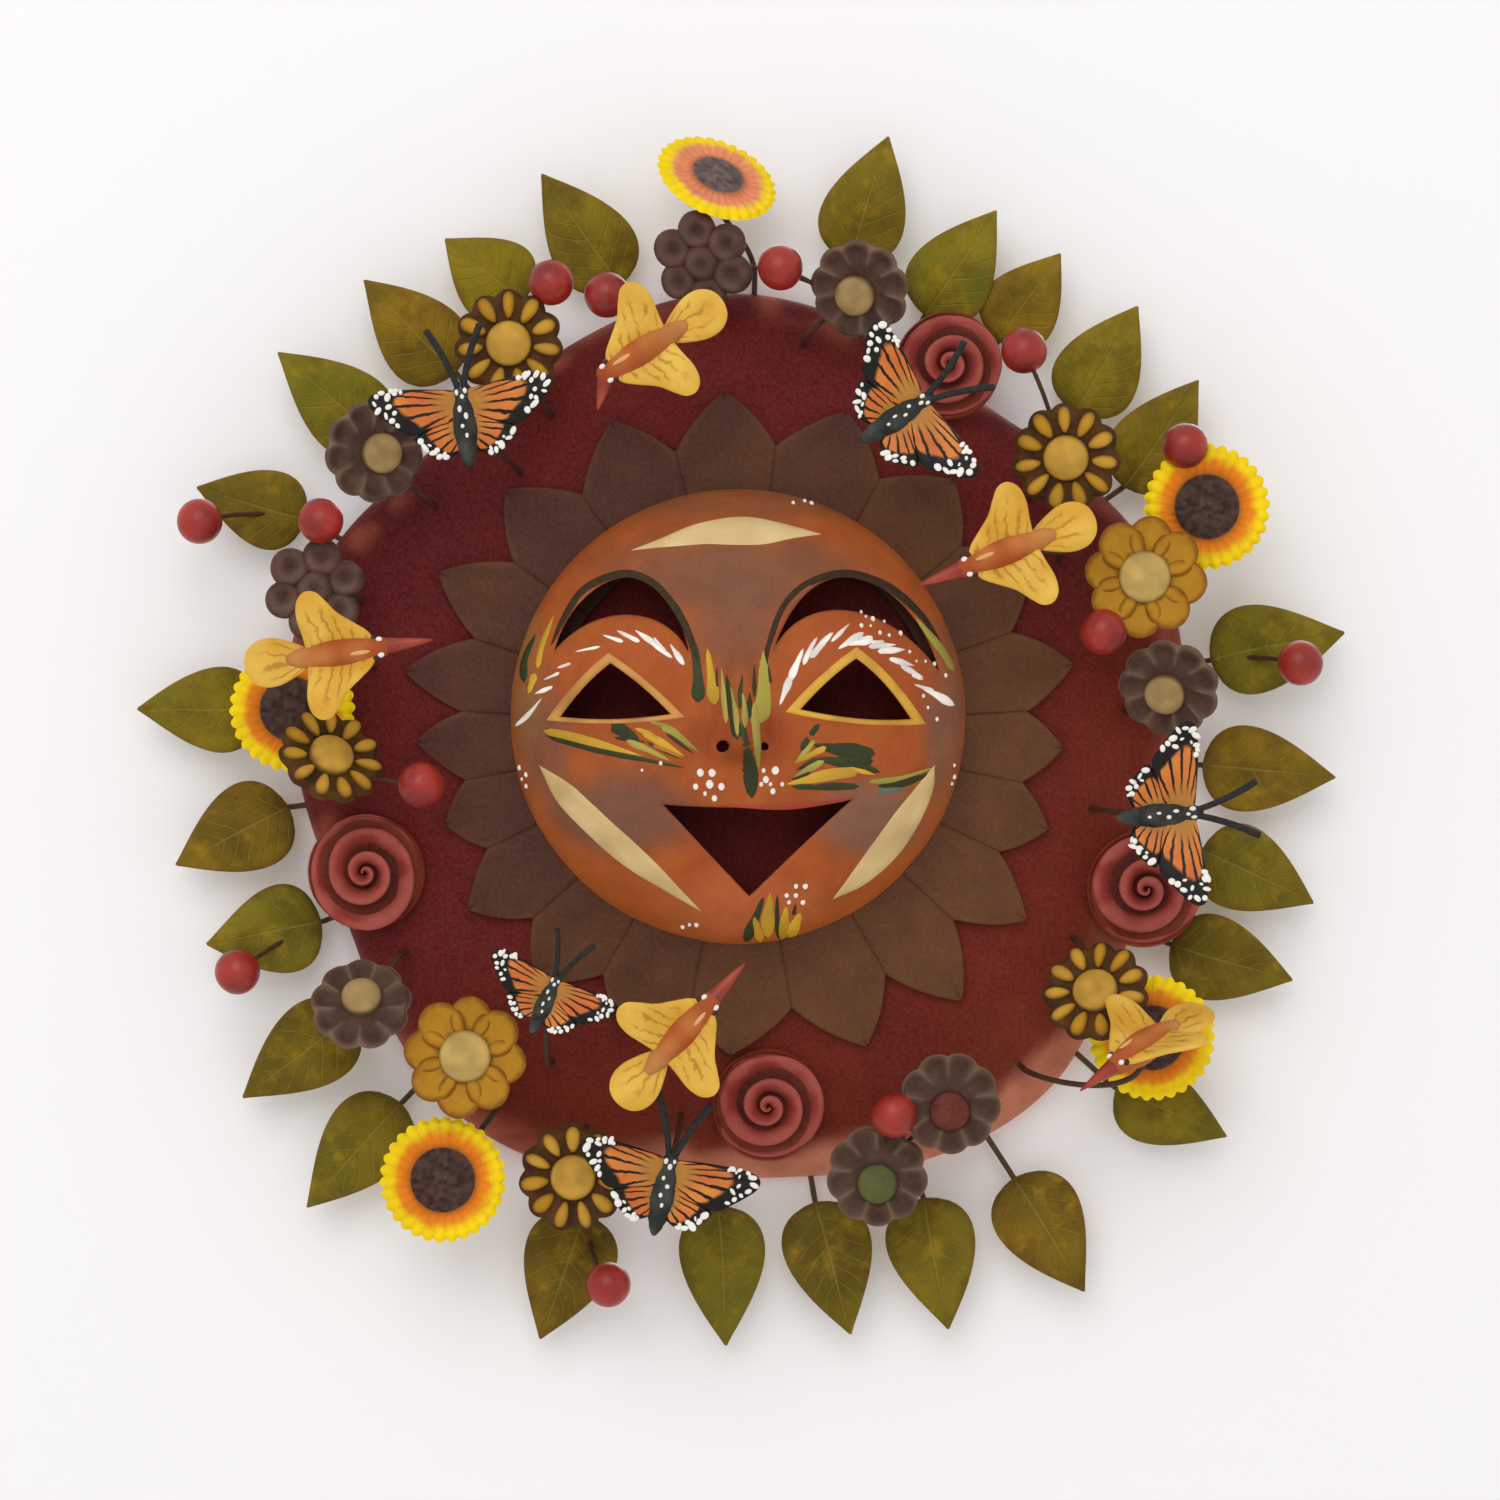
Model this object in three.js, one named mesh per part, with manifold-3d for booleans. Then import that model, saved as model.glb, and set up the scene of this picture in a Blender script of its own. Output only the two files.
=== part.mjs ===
// A painted clay sun for a wall: a domed clay disc with a ring of rays, a pierced sun face
// standing on it, and leaves, flowers, birds, butterflies and berries on wires all round.
// Millimetres. +Z is up, +X is to the right and the face looks along -Y, away from the wall,
// which is the plane y = 0. The origin is the top of the hanging wire, where the nail goes.

import * as THREE from 'three';
import { mergeVertices } from 'three/addons/utils/BufferGeometryUtils.js';
import Module from 'manifold-3d';

const wasm = await Module();
wasm.setup();

// Disc
const RIM_RADIUS = 136.5;        // mean radius of the hand-shaped outline
const RIM_LOBES = 5;             // soft corners of that outline
const RIM_LOBE_HEIGHT = 5;
const RIM_LOBE_TURN = -2;        // clock angle of the first corner, degrees
const RIM_THICKNESS = 12;        // front to back just inside the rounding
const RIM_ROUNDING = 9;          // radius of the rounded front edge
const RIM_LAND = 14;             // width of the flat ring that lies on the wall
const DOME_RISE = 18;            // height of the disc's middle above its rim
const DISC_WALL = 10;            // the clay slab's thickness
const DISC_SIDES = 35;           // corners that the outline is drawn with

// Rays
const RAYS_ACROSS = 1.8;         // the middle of their ring from the disc's middle
const RAYS_RAISE = 7.3;
const RAY_VALLEY_RADIUS = 85.5;  // where two rays part
const RAY_LENGTH = 16;           // from there to a common ray's tip
const RAY_LAP = 9;               // how far the slab of rays reaches in past the face's wall
const RAY_THICKNESS = 3;
// The hand-cut rays: each one's clock angle, and its share of the common length
const RAYS = [
  [-4, 1.03], [17, 0.95], [40, 0.8], [60.5, 0.9], [80, 1], [93.5, 0.7], [108.5, 0.72],
  [123.5, 1.12], [141.4, 1.25], [159, 1.1], [181.5, 0.85], [200.5, 0.85], [219, 0.85],
  [237, 0.9], [252.5, 0.6], [266.5, 0.85], [280, 1.18], [296.7, 1.14], [314.6, 1.03], [336, 0.97],
];

// Face
const FACE_RADIUS = 69;
const FACE_RAISE = 10.5;         // the face's centre stands this far above the disc's
const FACE_RISE = 34;            // height of the bare dome above its edge
const FACE_WALL = 5;
const NOSE_HEIGHT = 12;
const LID_HEIGHT = 5;
const CHEEK_HEIGHT = 3;

// Places on the face, in hundredths of its radius from its centre
const NOSE = { across: 1.5, bridge: 32, tip: -15, underside: 9, halfWidth: 19 };
const LID = { across: 51, up: 20, radius: 33 };
const CHEEK = { across: 55, up: -32, radius: 35 };
const NOSTRILS = [
  { across: -7, up: -13, radius: 3 },
  { across: 12, up: -13, radius: 2 },
];

// Wires and seats
const WIRE_RADIUS = 0.9;
const TWIG_RADIUS = 0.7;         // thinner wire under a berry
const SOCKET_DEPTH = 7;          // how deep a wire sits in the clay
const WIRE_RUN = 4;              // straight length in front of a socket
const EDGE_SOCKET_HEIGHT = 4.5;  // from the wall to the middle of a socket in the disc's edge
const CLEARANCE = 0.3;           // between a seated piece and its seat

// Hanging wire
const HANG_DROP = 96;            // from the nail down to the disc's centre
const HANGER_RADIUS = 1.2;
const HANGER_SPREAD = 26;        // between the two legs
const HANGER_HEIGHT = 30;        // from the legs' sockets up to the nail
const HANGER_STANDOFF = 2.2;     // from the wall plane to the wire's middle
const HANGER_BEND = 8;           // height over which each leg turns up along the wall
const HANGER_EYE = 3.5;          // half width of the bend that goes over the nail

// Ornaments
const LEAF_THICKNESS = 4;
const BERRY_RADIUS = 7;
const SUNFLOWER = {
  petals: 12, pointsPerPetal: 2, radius: 19, notch: 0.1, cup: 4, thick: 3, eye: 10, eyeHeight: 3,
};
const DAISY = {
  petals: 11, pointsPerPetal: 2, radius: 16.5, notch: 0.12, cup: 3, thick: 4, eye: 7, eyeHeight: 5,
};
const MUSTARD_FLOWER = {
  petals: 8, pointsPerPetal: 3, radius: 19, notch: 0.2, cup: 5, thick: 3, eye: 8, eyeHeight: 4,
};
const DARK_FLOWER = {
  petals: 6, pointsPerPetal: 3, radius: 15.5, notch: 0.2, cup: 3.5, thick: 4, eye: 6, eyeHeight: 3,
  eyeDrop: 2.5,                  // the eye sits this far below the middle
};
const ROSE_RADIUS = 18;
const ROSE_HEIGHT = 13;
const ROSE_TURNS = 2.5;
const ROSE_RIDGE = 2;
const ROSE_BACK_DEPTH = 12;      // a rose that stands over the rim keeps this far off the wall
const WING_THICKNESS = 1.8;
const BUTTERFLY_BODY_LENGTH = 26;
const BUTTERFLY_BODY_RADIUS = 3.9;
const BUTTERFLY_WING_LENGTH = 27;
const BUTTERFLY_WING_LIFT = 14;  // degrees that each wing rises from flat
const FEELER_LENGTH = 18;
const FEELER_RADIUS = 0.9;
const BIRD_BODY_LENGTH = 30;
const BIRD_BODY_RADIUS = 4.8;
const BIRD_BEAK_LENGTH = 15;
const BIRD_WING_LENGTH = 20;
const BIRD_WING_LIFT = 18;       // degrees that each wing rises from flat
const BIRD_TAIL_LENGTH = 19;
const BIRD_TAIL_WIDTH = 14.5;

// Colours of the paints
const PAINT = {
  maroon: { color: '#5e1f1c', roughness: 0.75 },
  terracotta: { color: '#a8552f', roughness: 0.7 },
  leafGreen: { color: '#5c5a22', roughness: 0.7 },
  yellow: { color: '#d7a417', roughness: 0.65 },
  daisyBrown: { color: '#6b4a12', roughness: 0.7 },
  mustard: { color: '#b98a1e', roughness: 0.7 },
  greyBrown: { color: '#4a3a36', roughness: 0.75 },
  rosePink: { color: '#8c3430', roughness: 0.7 },
  butterflyOrange: { color: '#a8501c', roughness: 0.65 },
  birdYellow: { color: '#c79a33', roughness: 0.65 },
  steel: { color: '#6d6a66', roughness: 0.45, metalness: 0.9 },
};

const radians = THREE.MathUtils.degToRad;

// Closed bodies

function solidOf(geometry) {
  const bare = geometry.clone();
  for (const name of Object.keys(bare.attributes)) {
    if (name !== 'position') bare.deleteAttribute(name);
  }
  const merged = mergeVertices(bare, 1e-4);
  const mesh = new wasm.Mesh({
    numProp: 3,
    vertProperties: new Float32Array(merged.attributes.position.array),
    triVerts: new Uint32Array(merged.index.array),
  });
  mesh.merge();
  return new wasm.Manifold(mesh);
}

function geometryOf(solid) {
  const mesh = solid.getMesh();
  const geometry = new THREE.BufferGeometry();
  geometry.setAttribute('position', new THREE.BufferAttribute(mesh.vertProperties, 3));
  geometry.setIndex(new THREE.BufferAttribute(mesh.triVerts, 1));
  geometry.computeVertexNormals();
  return geometry;
}

function joined(solids) {
  return solids.reduce((whole, solid) => whole.add(solid));
}

// A skin over rings of equal size, closed by a point at each end. Rings go round
// counter-clockwise seen from the last ring's end.
function wrapRings(rings, firstPoint, lastPoint) {
  const count = rings[0].length;
  const positions = [firstPoint, ...rings.flat(), lastPoint].flatMap((p) => [p.x, p.y, p.z]);
  const at = (ring, side) => 1 + ring * count + (side % count);
  const last = 1 + rings.length * count;
  const index = [];
  for (let side = 0; side < count; side++) {
    index.push(0, at(0, side + 1), at(0, side));
    for (let ring = 0; ring + 1 < rings.length; ring++) {
      index.push(at(ring, side), at(ring, side + 1), at(ring + 1, side + 1));
      index.push(at(ring, side), at(ring + 1, side + 1), at(ring + 1, side));
    }
    index.push(at(rings.length - 1, side), at(rings.length - 1, side + 1), last);
  }
  const geometry = new THREE.BufferGeometry();
  geometry.setAttribute('position', new THREE.Float32BufferAttribute(positions, 3));
  geometry.setIndex(index);
  return solidOf(geometry);
}

function wire(curve, radius, steps, sides = 5) {
  const section = new THREE.Shape();
  for (let side = 0; side < sides; side++) {
    const turn = (2 * Math.PI * side) / sides;
    section[side ? 'lineTo' : 'moveTo'](radius * Math.cos(turn), radius * Math.sin(turn));
  }
  return solidOf(new THREE.ExtrudeGeometry(section, { steps, extrudePath: curve, curveSegments: 1 }));
}

// A flat outline in the X-Z plane, made into a plate from depth `from` to depth `to` along -Y
function plate(points, from, to) {
  const outline = new THREE.Shape(points);
  const geometry = new THREE.ExtrudeGeometry(outline, { depth: to - from, bevelEnabled: false });
  geometry.rotateX(Math.PI / 2);
  geometry.translate(0, -from, 0);
  return solidOf(geometry);
}

// Places on the disc. A clock angle runs clockwise from the top, as seen from the front.

function rimRadius(clock) {
  return RIM_RADIUS + RIM_LOBE_HEIGHT * Math.cos(RIM_LOBES * radians(clock - RIM_LOBE_TURN));
}

function clockOf(x, z) {
  return THREE.MathUtils.radToDeg(Math.atan2(x, z));
}

function onClock(clock, radius, depth) {
  const turn = radians(clock);
  return new THREE.Vector3(radius * Math.sin(turn), -depth, radius * Math.cos(turn));
}

// How far the disc's front stands off the wall
function domeDepth(radius, rim) {
  const share = radius / rim;
  const dome = RIM_THICKNESS + DOME_RISE * (1 - share * share);
  const intoRounding = Math.max(0, radius - (rim - RIM_ROUNDING)) / RIM_ROUNDING;
  return dome - RIM_ROUNDING * (1 - Math.sqrt(Math.max(0, 1 - intoRounding * intoRounding)));
}

function frontDepth(x, z) {
  return domeDepth(Math.hypot(x, z), rimRadius(clockOf(x, z)));
}

function frontNormal(x, z) {
  const step = 0.5;
  const slopeX = (frontDepth(x + step, z) - frontDepth(x - step, z)) / (2 * step);
  const slopeZ = (frontDepth(x, z + step) - frontDepth(x, z - step)) / (2 * step);
  return new THREE.Vector3(-slopeX, -1, -slopeZ).normalize();
}

// Disc with its rays

function discRings(profile) {
  return profile.map((point) => {
    const ring = [];
    for (let side = 0; side < DISC_SIDES; side++) {
      const clock = (-360 * side) / DISC_SIDES;
      const rim = rimRadius(clock);
      const { radius, depth } = point(rim);
      ring.push(onClock(clock, radius, depth));
    }
    return ring;
  });
}

const onFront = (radius, rim) => ({ radius, depth: domeDepth(radius, rim) });
const onBack = (radius, rim) => ({ radius, depth: domeDepth(radius, rim) - DISC_WALL });
const onWall = (radius) => ({ radius, depth: 0 });

const frontProfile = [
  (rim) => onFront(rim, rim),
  (rim) => onFront(rim - 0.2 * RIM_ROUNDING, rim),
  (rim) => onFront(rim - 0.6 * RIM_ROUNDING, rim),
  ...[1, 0.72, 0.4].map((share) => (rim) => onFront((rim - RIM_ROUNDING) * share, rim)),
];

const backProfile = [
  (rim) => onBack((rim - RIM_LAND) / 2, rim),
  (rim) => onBack(rim - RIM_LAND - RIM_ROUNDING, rim),
  (rim) => onWall(rim - RIM_LAND),
  (rim) => onWall(rim - RIM_THICKNESS / 8),
];

function disc() {
  const rings = discRings([...backProfile, ...frontProfile]);
  const middle = domeDepth(0, RIM_RADIUS);
  return wrapRings(rings, new THREE.Vector3(0, DISC_WALL - middle, 0), new THREE.Vector3(0, -middle, 0));
}

// The disc's front surface, moved forward by `shift`, with everything behind it filled
function discBlank(shift) {
  const behind = 20;
  const rings = discRings([(rim) => ({ radius: rim, depth: -behind - shift }), ...frontProfile]);
  const middle = domeDepth(0, RIM_RADIUS);
  const blank = wrapRings(rings, new THREE.Vector3(0, behind, 0), new THREE.Vector3(0, -middle, 0));
  return blank.translate([0, -shift, 0]);
}

// The slab of rays, bent over the dome. It is grown by a gap where it cuts a neighbour's seat.
function rays(gap = 0, backing = DISC_WALL / 2) {
  const stepsPerSide = 2;
  const clockAt = (ray) => RAYS[(ray + RAYS.length) % RAYS.length][0] + 360 * Math.floor(ray / RAYS.length);
  const corners = RAYS.flatMap(([clock, share], ray) => {
    const points = [];
    for (let step = -stepsPerSide; step < stepsPerSide; step++) {
      const rise = 1 - Math.abs(step) / stepsPerSide;
      const halfTurn = (clockAt(ray + Math.sign(step)) - clock) / 2;
      points.push({
        clock: clock + halfTurn * (1 - rise) ** 0.9,
        radius: RAY_VALLEY_RADIUS + gap + (RAY_LENGTH * share + gap) * rise ** 0.9,
      });
    }
    return points;
  }).reverse();
  const over = (x, z, lift) => new THREE.Vector3(x, -frontDepth(x, z) - lift, z);
  const ring = (radiusOf, lift) => corners.map((corner) => {
    const flat = onClock(corner.clock, radiusOf(corner), 0);
    return over(flat.x + RAYS_ACROSS, flat.z + RAYS_RAISE, lift);
  });
  const outline = (corner) => corner.radius;
  const root = () => FACE_RADIUS - FACE_WALL - RAY_LAP - gap;
  const front = RAY_THICKNESS + gap;
  const rings = [ring(outline, -backing), ring(outline, front), ring(root, front), ring(root, -backing / 2)];
  const middle = (lift) => over(RAYS_ACROSS, RAYS_RAISE, lift);
  return wrapRings(rings, middle(-backing), middle(-backing / 2));
}

// Face: a hollow dome with relief, pierced at the brows, eyes, nostrils and mouth

function smoothBump(distance, radius) {
  const share = Math.min(1, distance / radius);
  return (1 - share * share) ** 2;
}

function faceRelief(x, z) {
  const { clamp, lerp, smoothstep } = THREE.MathUtils;
  const across = (100 * x) / FACE_RADIUS;
  const up = (100 * z) / FACE_RADIUS;
  const swelling = (place) =>
    smoothBump(Math.hypot(Math.abs(across) - place.across, up - place.up), place.radius);
  const downNose = clamp((NOSE.bridge - up) / (NOSE.bridge - NOSE.tip), 0, 1);
  const noseHalf = NOSE.halfWidth * lerp(0.4, 1, downNose);
  const nose = downNose ** 0.7 * smoothBump(Math.abs(across - NOSE.across), noseHalf)
    * smoothstep(up, NOSE.tip - NOSE.underside, NOSE.tip + NOSE.underside / 2);
  return LID_HEIGHT * swelling(LID) + CHEEK_HEIGHT * swelling(CHEEK) + NOSE_HEIGHT * nose;
}

function faceDome(share) {
  return (1 - share ** 2.3) ** 0.6;
}

function face() {
  const sides = 32;
  const edgeDepth = frontDepth(FACE_RADIUS, FACE_RAISE);
  const shares = [1, 0.96, 0.86, 0.73, 0.6, 0.47, 0.35, 0.24, 0.12];
  const ring = (share, offset, relief) => {
    const points = [];
    const radius = FACE_RADIUS * share;
    for (let side = 0; side < sides; side++) {
      const point = onClock((-360 * side) / sides, radius, 0);
      const rise = FACE_RISE * faceDome(share) + relief * faceRelief(point.x, point.z);
      points.push(new THREE.Vector3(point.x, -(edgeDepth + rise - offset), point.z));
    }
    return points;
  };
  const inner = (share) => {
    const points = ring(share, FACE_WALL, 0.75);
    const narrow = 1 - FACE_WALL / FACE_RADIUS;
    return points.map((p) => new THREE.Vector3(p.x * narrow, p.y, p.z * narrow));
  };
  const footDepth = edgeDepth - DISC_WALL;
  const foot = (radius) => ring(1, 0, 0).map((p) =>
    new THREE.Vector3((p.x * radius) / FACE_RADIUS, -footDepth, (p.z * radius) / FACE_RADIUS));
  const innerShares = [0.55, 0.93];
  const rings = [
    ...innerShares.map(inner),
    foot(FACE_RADIUS - FACE_WALL),
    foot(FACE_RADIUS),
    ...shares.map((share) => ring(share, 0, 1)),
  ];
  const top = edgeDepth + FACE_RISE + faceRelief(0, 0);
  const innerTop = edgeDepth + FACE_RISE + 0.75 * faceRelief(0, 0) - FACE_WALL;
  const shell = wrapRings(rings, new THREE.Vector3(0, -innerTop, 0), new THREE.Vector3(0, -top, 0));
  const pierced = faceOpenings().reduce((solid, opening) => solid.subtract(opening), shell);
  const seated = pierced.translate([0, 0, FACE_RAISE]);
  return seated.subtract(rays(0, 2 * DISC_WALL).translate([0, -CLEARANCE, 0]));
}

function faceOpenings() {
  const outline = (start, ...curves) => {
    const shape = new THREE.Shape();
    shape.moveTo(...start);
    for (const curve of curves) {
      shape[curve.length === 6 ? 'bezierCurveTo' : 'quadraticCurveTo'](...curve);
    }
    return shape;
  };
  const leftBrow = outline([-80, 29], [-72, 61, -32, 81, -21, 27.5], [-30, 48, -61, 51, -80, 29]);
  const rightBrow = outline([88, 20], [78, 58, 35, 84, 16, 30], [29, 54, 64, 52, 88, 20]);
  const leftEye = outline([-77, 0], [-67, 14, -55, 23], [-41, 14, -29, 1], [-52, -3, -77, 0]);
  const rightEye = outline([27, 3], [38, 16, 51, 25], [64, 16, 75, -1], [52, -3, 27, 3]);
  const mouth = outline([-32, -38], [9, -41, 49, -36], [28, -55, 5, -78], [-13, -59, -32, -38]);
  const nostrils = NOSTRILS.map(({ across, up, radius }) =>
    new THREE.Shape().absarc(across, up, radius, 0, 2 * Math.PI));
  const cut = (shape, divisions) => {
    const points = shape.getPoints(divisions).slice(0, -1);
    return plate(points.map((point) => point.multiplyScalar(FACE_RADIUS / 100)), 0, 2 * FACE_RADIUS);
  };
  return [
    ...[leftBrow, rightBrow].map((shape) => cut(shape, 5)),
    ...[leftEye, rightEye].map((shape) => cut(shape, 2)),
    ...[mouth, ...nostrils].map((shape) => cut(shape, 3)),
  ];
}

// Ornaments. Each is modelled with its back at the origin, its front along -Y and its own
// top along +Z, and says where its wire enters it.

function flower({ petals, pointsPerPetal, radius, notch, cup, thick, eye, eyeHeight, eyeDrop = 0 }) {
  const sides = petals * pointsPerPetal;
  const ring = (size, depth, notched, drop) => {
    const points = [];
    for (let side = 0; side < sides; side++) {
      const lobe = side % pointsPerPetal === 0 ? 1 - notched : 1;
      const point = onClock((-360 * side) / sides, size * lobe, depth);
      points.push(point.setZ(point.z - drop));
    }
    return points;
  };
  const rings = [
    ring(radius, cup, notch, 0),
    ring(eye * 1.15, thick, 0, eyeDrop),
    ring(eye, thick + eyeHeight * 0.7, 0, eyeDrop),
  ];
  const front = new THREE.Vector3(0, -(thick + eyeHeight), -eyeDrop);
  return wrapRings(rings, new THREE.Vector3(0, 0, 0), front);
}

function leaf({ length, width }) {
  const stations = [0.03, 0.18, 0.42, 0.78];
  const halfWidths = [0.46, 0.93, 0.95, 0.42];
  const bow = 0.05 * length;
  const middle = (share) => -bow * 4 * share * (1 - share);
  const rings = stations.map((share, index) => {
    const half = (halfWidths[index] * width) / 2;
    const thick = LEAF_THICKNESS * Math.min(1, halfWidths[index] + 0.3);
    const z = share * length;
    const y = middle(share);
    return [
      new THREE.Vector3(half, y, z),
      new THREE.Vector3(0, y + thick * 0.3, z),
      new THREE.Vector3(-half, y, z),
      new THREE.Vector3(-half * 0.5, y - thick * 0.7, z),
      new THREE.Vector3(half * 0.5, y - thick * 0.7, z),
    ];
  });
  return wrapRings(rings, new THREE.Vector3(0, 0, 0), new THREE.Vector3(0, 0, length));
}

function rose(foot, radius) {
  const sides = 14;
  const shares = [1, 1, 0.85, 0.62, 0.36];
  const rings = shares.map((share, index) => {
    const points = [];
    for (let side = 0; side < sides; side++) {
      const clock = (-360 * side) / sides;
      const spiral = (share * ROSE_TURNS - clock / 360) % 1;
      const ridge = index > 1 ? ROSE_RIDGE * spiral : 0;
      const depth = index === 0 ? -foot : ROSE_HEIGHT * Math.sqrt(1 - (share * 0.92) ** 2) - ridge;
      points.push(onClock(clock, radius * share, depth));
    }
    return points;
  });
  return wrapRings(rings, new THREE.Vector3(0, foot, 0), new THREE.Vector3(0, -ROSE_HEIGHT, 0));
}

function berry() {
  return solidOf(new THREE.SphereGeometry(BERRY_RADIUS, 7, 5));
}

// A swelling body along Z, from [share of length, share of radius] pairs
function spindle(length, radius, stations, sides) {
  const rings = stations.slice(1, -1).map(([share, size]) => {
    const points = [];
    for (let side = 0; side < sides; side++) {
      const turn = (2 * Math.PI * side) / sides;
      points.push(new THREE.Vector3(
        radius * size * Math.cos(turn), radius * size * Math.sin(turn), length * share));
    }
    return points;
  });
  const end = ([share]) => new THREE.Vector3(0, 0, length * share);
  return wrapRings(rings, end(stations[0]), end(stations[stations.length - 1]));
}

function butterfly({ share = 1 }) {
  const body = spindle(BUTTERFLY_BODY_LENGTH, BUTTERFLY_BODY_RADIUS,
    [[-0.5, 0], [-0.42, 0.55], [0.1, 1], [0.33, 0.75], [0.44, 0.8], [0.5, 0]], 6);
  const foreWing = [[0, 36], [30, 42], [92, 44], [103, 35], [100, 24], [78, 6], [60, -7], [0, 0]];
  const hindWing = [[0, 12], [58, -8], [58, -12], [48, -24], [32, -35], [16, -33], [0, -22]];
  const hundredth = BUTTERFLY_WING_LENGTH / 100;
  const wings = [1, -1].flatMap((hand) => [foreWing, hindWing].map((points) => {
    const outline = points.map(([x, z]) => new THREE.Vector2(x * hand, z).multiplyScalar(hundredth));
    const wing = plate(outline, -WING_THICKNESS / 2, WING_THICKNESS / 2);
    return wing.rotate([0, 0, -hand * BUTTERFLY_WING_LIFT]);
  }));
  const feelers = [1, -1].map((hand) => {
    const root = new THREE.Vector3(0, 0, BUTTERFLY_BODY_LENGTH * 0.42);
    const bend = new THREE.Vector3(hand * 3, -2, root.z + FEELER_LENGTH * 0.5);
    const tip = new THREE.Vector3(hand * 8, -3, root.z + FEELER_LENGTH);
    return wire(new THREE.QuadraticBezierCurve3(root, bend, tip), FEELER_RADIUS, 2, 3);
  });
  const back = BUTTERFLY_BODY_RADIUS;
  return joined([body, ...wings, ...feelers]).translate([0, -back, 0]).scale(share);
}

// A feather plate that starts at the origin and points along a clock angle
function feather(length, width, clock) {
  const half = width / 2;
  const shape = [[-0.15, 0.35], [0.45, 1], [0.85, 0.8], [1, 0]];
  const right = shape.map(([share, size]) => new THREE.Vector2(half * size, length * share));
  const left = shape.slice(0, -1).reverse().map(([share, size]) =>
    new THREE.Vector2(-half * size, length * share));
  return plate([...right, ...left], -WING_THICKNESS / 2, WING_THICKNESS / 2).rotate([0, clock, 0]);
}

function bird({ beakTurn = 0, beakShare = 1 }) {
  const body = spindle(BIRD_BODY_LENGTH, BIRD_BODY_RADIUS,
    [[-0.5, 0], [-0.38, 0.5], [-0.02, 1], [0.25, 0.7], [0.38, 0.8], [0.52, 0]], 7);
  const beak = spindle(BIRD_BEAK_LENGTH * beakShare, BIRD_BODY_RADIUS * 0.42,
    [[-0.3, 0], [-0.2, 1], [1, 0]], 5)
    .rotate([0, beakTurn, 0])
    .translate([0, 0, BIRD_BODY_LENGTH * 0.46]);
  const hundredth = BIRD_WING_LENGTH / 100;
  const wingOutline = [[0, 58], [28, 48], [61, 9], [97, -19], [99, -35], [86, -48], [62, -52], [0, -45]];
  const wings = [1, -1].map((hand) => {
    const outline = wingOutline.map(([x, z]) => new THREE.Vector2(x * hand, z).multiplyScalar(hundredth));
    return plate(outline, -WING_THICKNESS / 2, WING_THICKNESS / 2).rotate([0, 0, -hand * BIRD_WING_LIFT]);
  });
  const tail = feather(BIRD_TAIL_LENGTH, BIRD_TAIL_WIDTH, 180).translate([0, 0, -BIRD_BODY_LENGTH * 0.3]);
  return joined([body, beak, ...wings, tail]).translate([0, -BIRD_BODY_RADIUS, 0]);
}

const FORWARD = new THREE.Vector3(0, -1, 0);
const UPWARD = new THREE.Vector3(0, 0, 1);

const intoBack = { joint: [0, -2, 0], enters: FORWARD, stemSteps: 4 };
const KINDS = {
  leaf: { make: leaf, paint: 'leafGreen', joint: [0, 0, 3], enters: UPWARD, stemSteps: 2 },
  sunflower: { make: () => flower(SUNFLOWER), paint: 'yellow', ...intoBack },
  daisy: { make: () => flower(DAISY), paint: 'daisyBrown', ...intoBack },
  mustard: { make: () => flower(MUSTARD_FLOWER), paint: 'mustard', ...intoBack },
  dark: { make: () => flower(DARK_FLOWER), paint: 'greyBrown', ...intoBack },
  butterfly: { make: butterfly, paint: 'butterflyOrange', ...intoBack },
  bird: { make: bird, paint: 'birdYellow', ...intoBack },
};

// Where an ornament stands. `at` is [clock, reach beyond the rim, depth off the wall], `heading`
// is the clock angle of its own top, `tilt` leans that top to the front and `roll` turns it
// about its own length. `root` is [clock, inset from the rim], or 'edge' in place of the inset
// for a wire that leaves the disc's edge.
const LEAVES = [
  // clock, reach, heading, length, width
  [12.9, 16, 15.7, 40, 26],
  [23.1, 11.5, 35.6, 39, 26],
  [32.3, 17, 35.7, 33, 24],
  [44.7, 12.5, 30, 38, 26],
  [55.5, 5, 34.7, 40, 26],
  [79, 7, 76.7, 42, 27],
  [91.6, 7, 95, 41, 26],
  [101.9, 13, 115, 38, 26],
  [114, 12, 106.4, 39, 26],
  [131.7, 15, 112, 37, 24],
  [147.1, 14, 148.7, 41, 27],
  [157.4, 10, 170.9, 41, 27],
  [170.3, 7, 165.6, 42, 27],
  [182.5, 7, 175.9, 43, 26],
  [198.3, 11, 199.5, 41, 28],
  [223.8, 9, 223.3, 43, 26],
  [235.9, 8, 231, 42, 26],
  [247.8, 6, 258.7, 36, 27],
  [263, 4, 241.7, 39, 27],
  [275.3, 7, 268, 38, 26],
  [298.2, 11, 286, 35, 24],
  [311.5, 10, 308, 43, 26],
  [323.4, 13, 314, 40, 26],
  [334.4, 18, 308.6, 31, 26],
  [345.8, 8, 323.7, 42, 26],
].map(([clock, reach, heading, length, width], index) => ({
  name: `leaf_${String(index + 1).padStart(2, '0')}`,
  kind: 'leaf',
  at: [clock, reach, 8],
  heading,
  tilt: 8,
  root: [clock, 'edge'],
  size: { length, width },
}));

const LEAF_BERRIES = {
  leaf_06: [81, 32, 30],
  leaf_15: [193.7, 30, 26],
  leaf_18: [246.3, 33, 28],
  leaf_21: [293.2, 36, 28],
  leaf_25: [344, 4, 40],
};
for (const leafRow of LEAVES) {
  if (LEAF_BERRIES[leafRow.name]) leafRow.berries = [LEAF_BERRIES[leafRow.name]];
}

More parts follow.
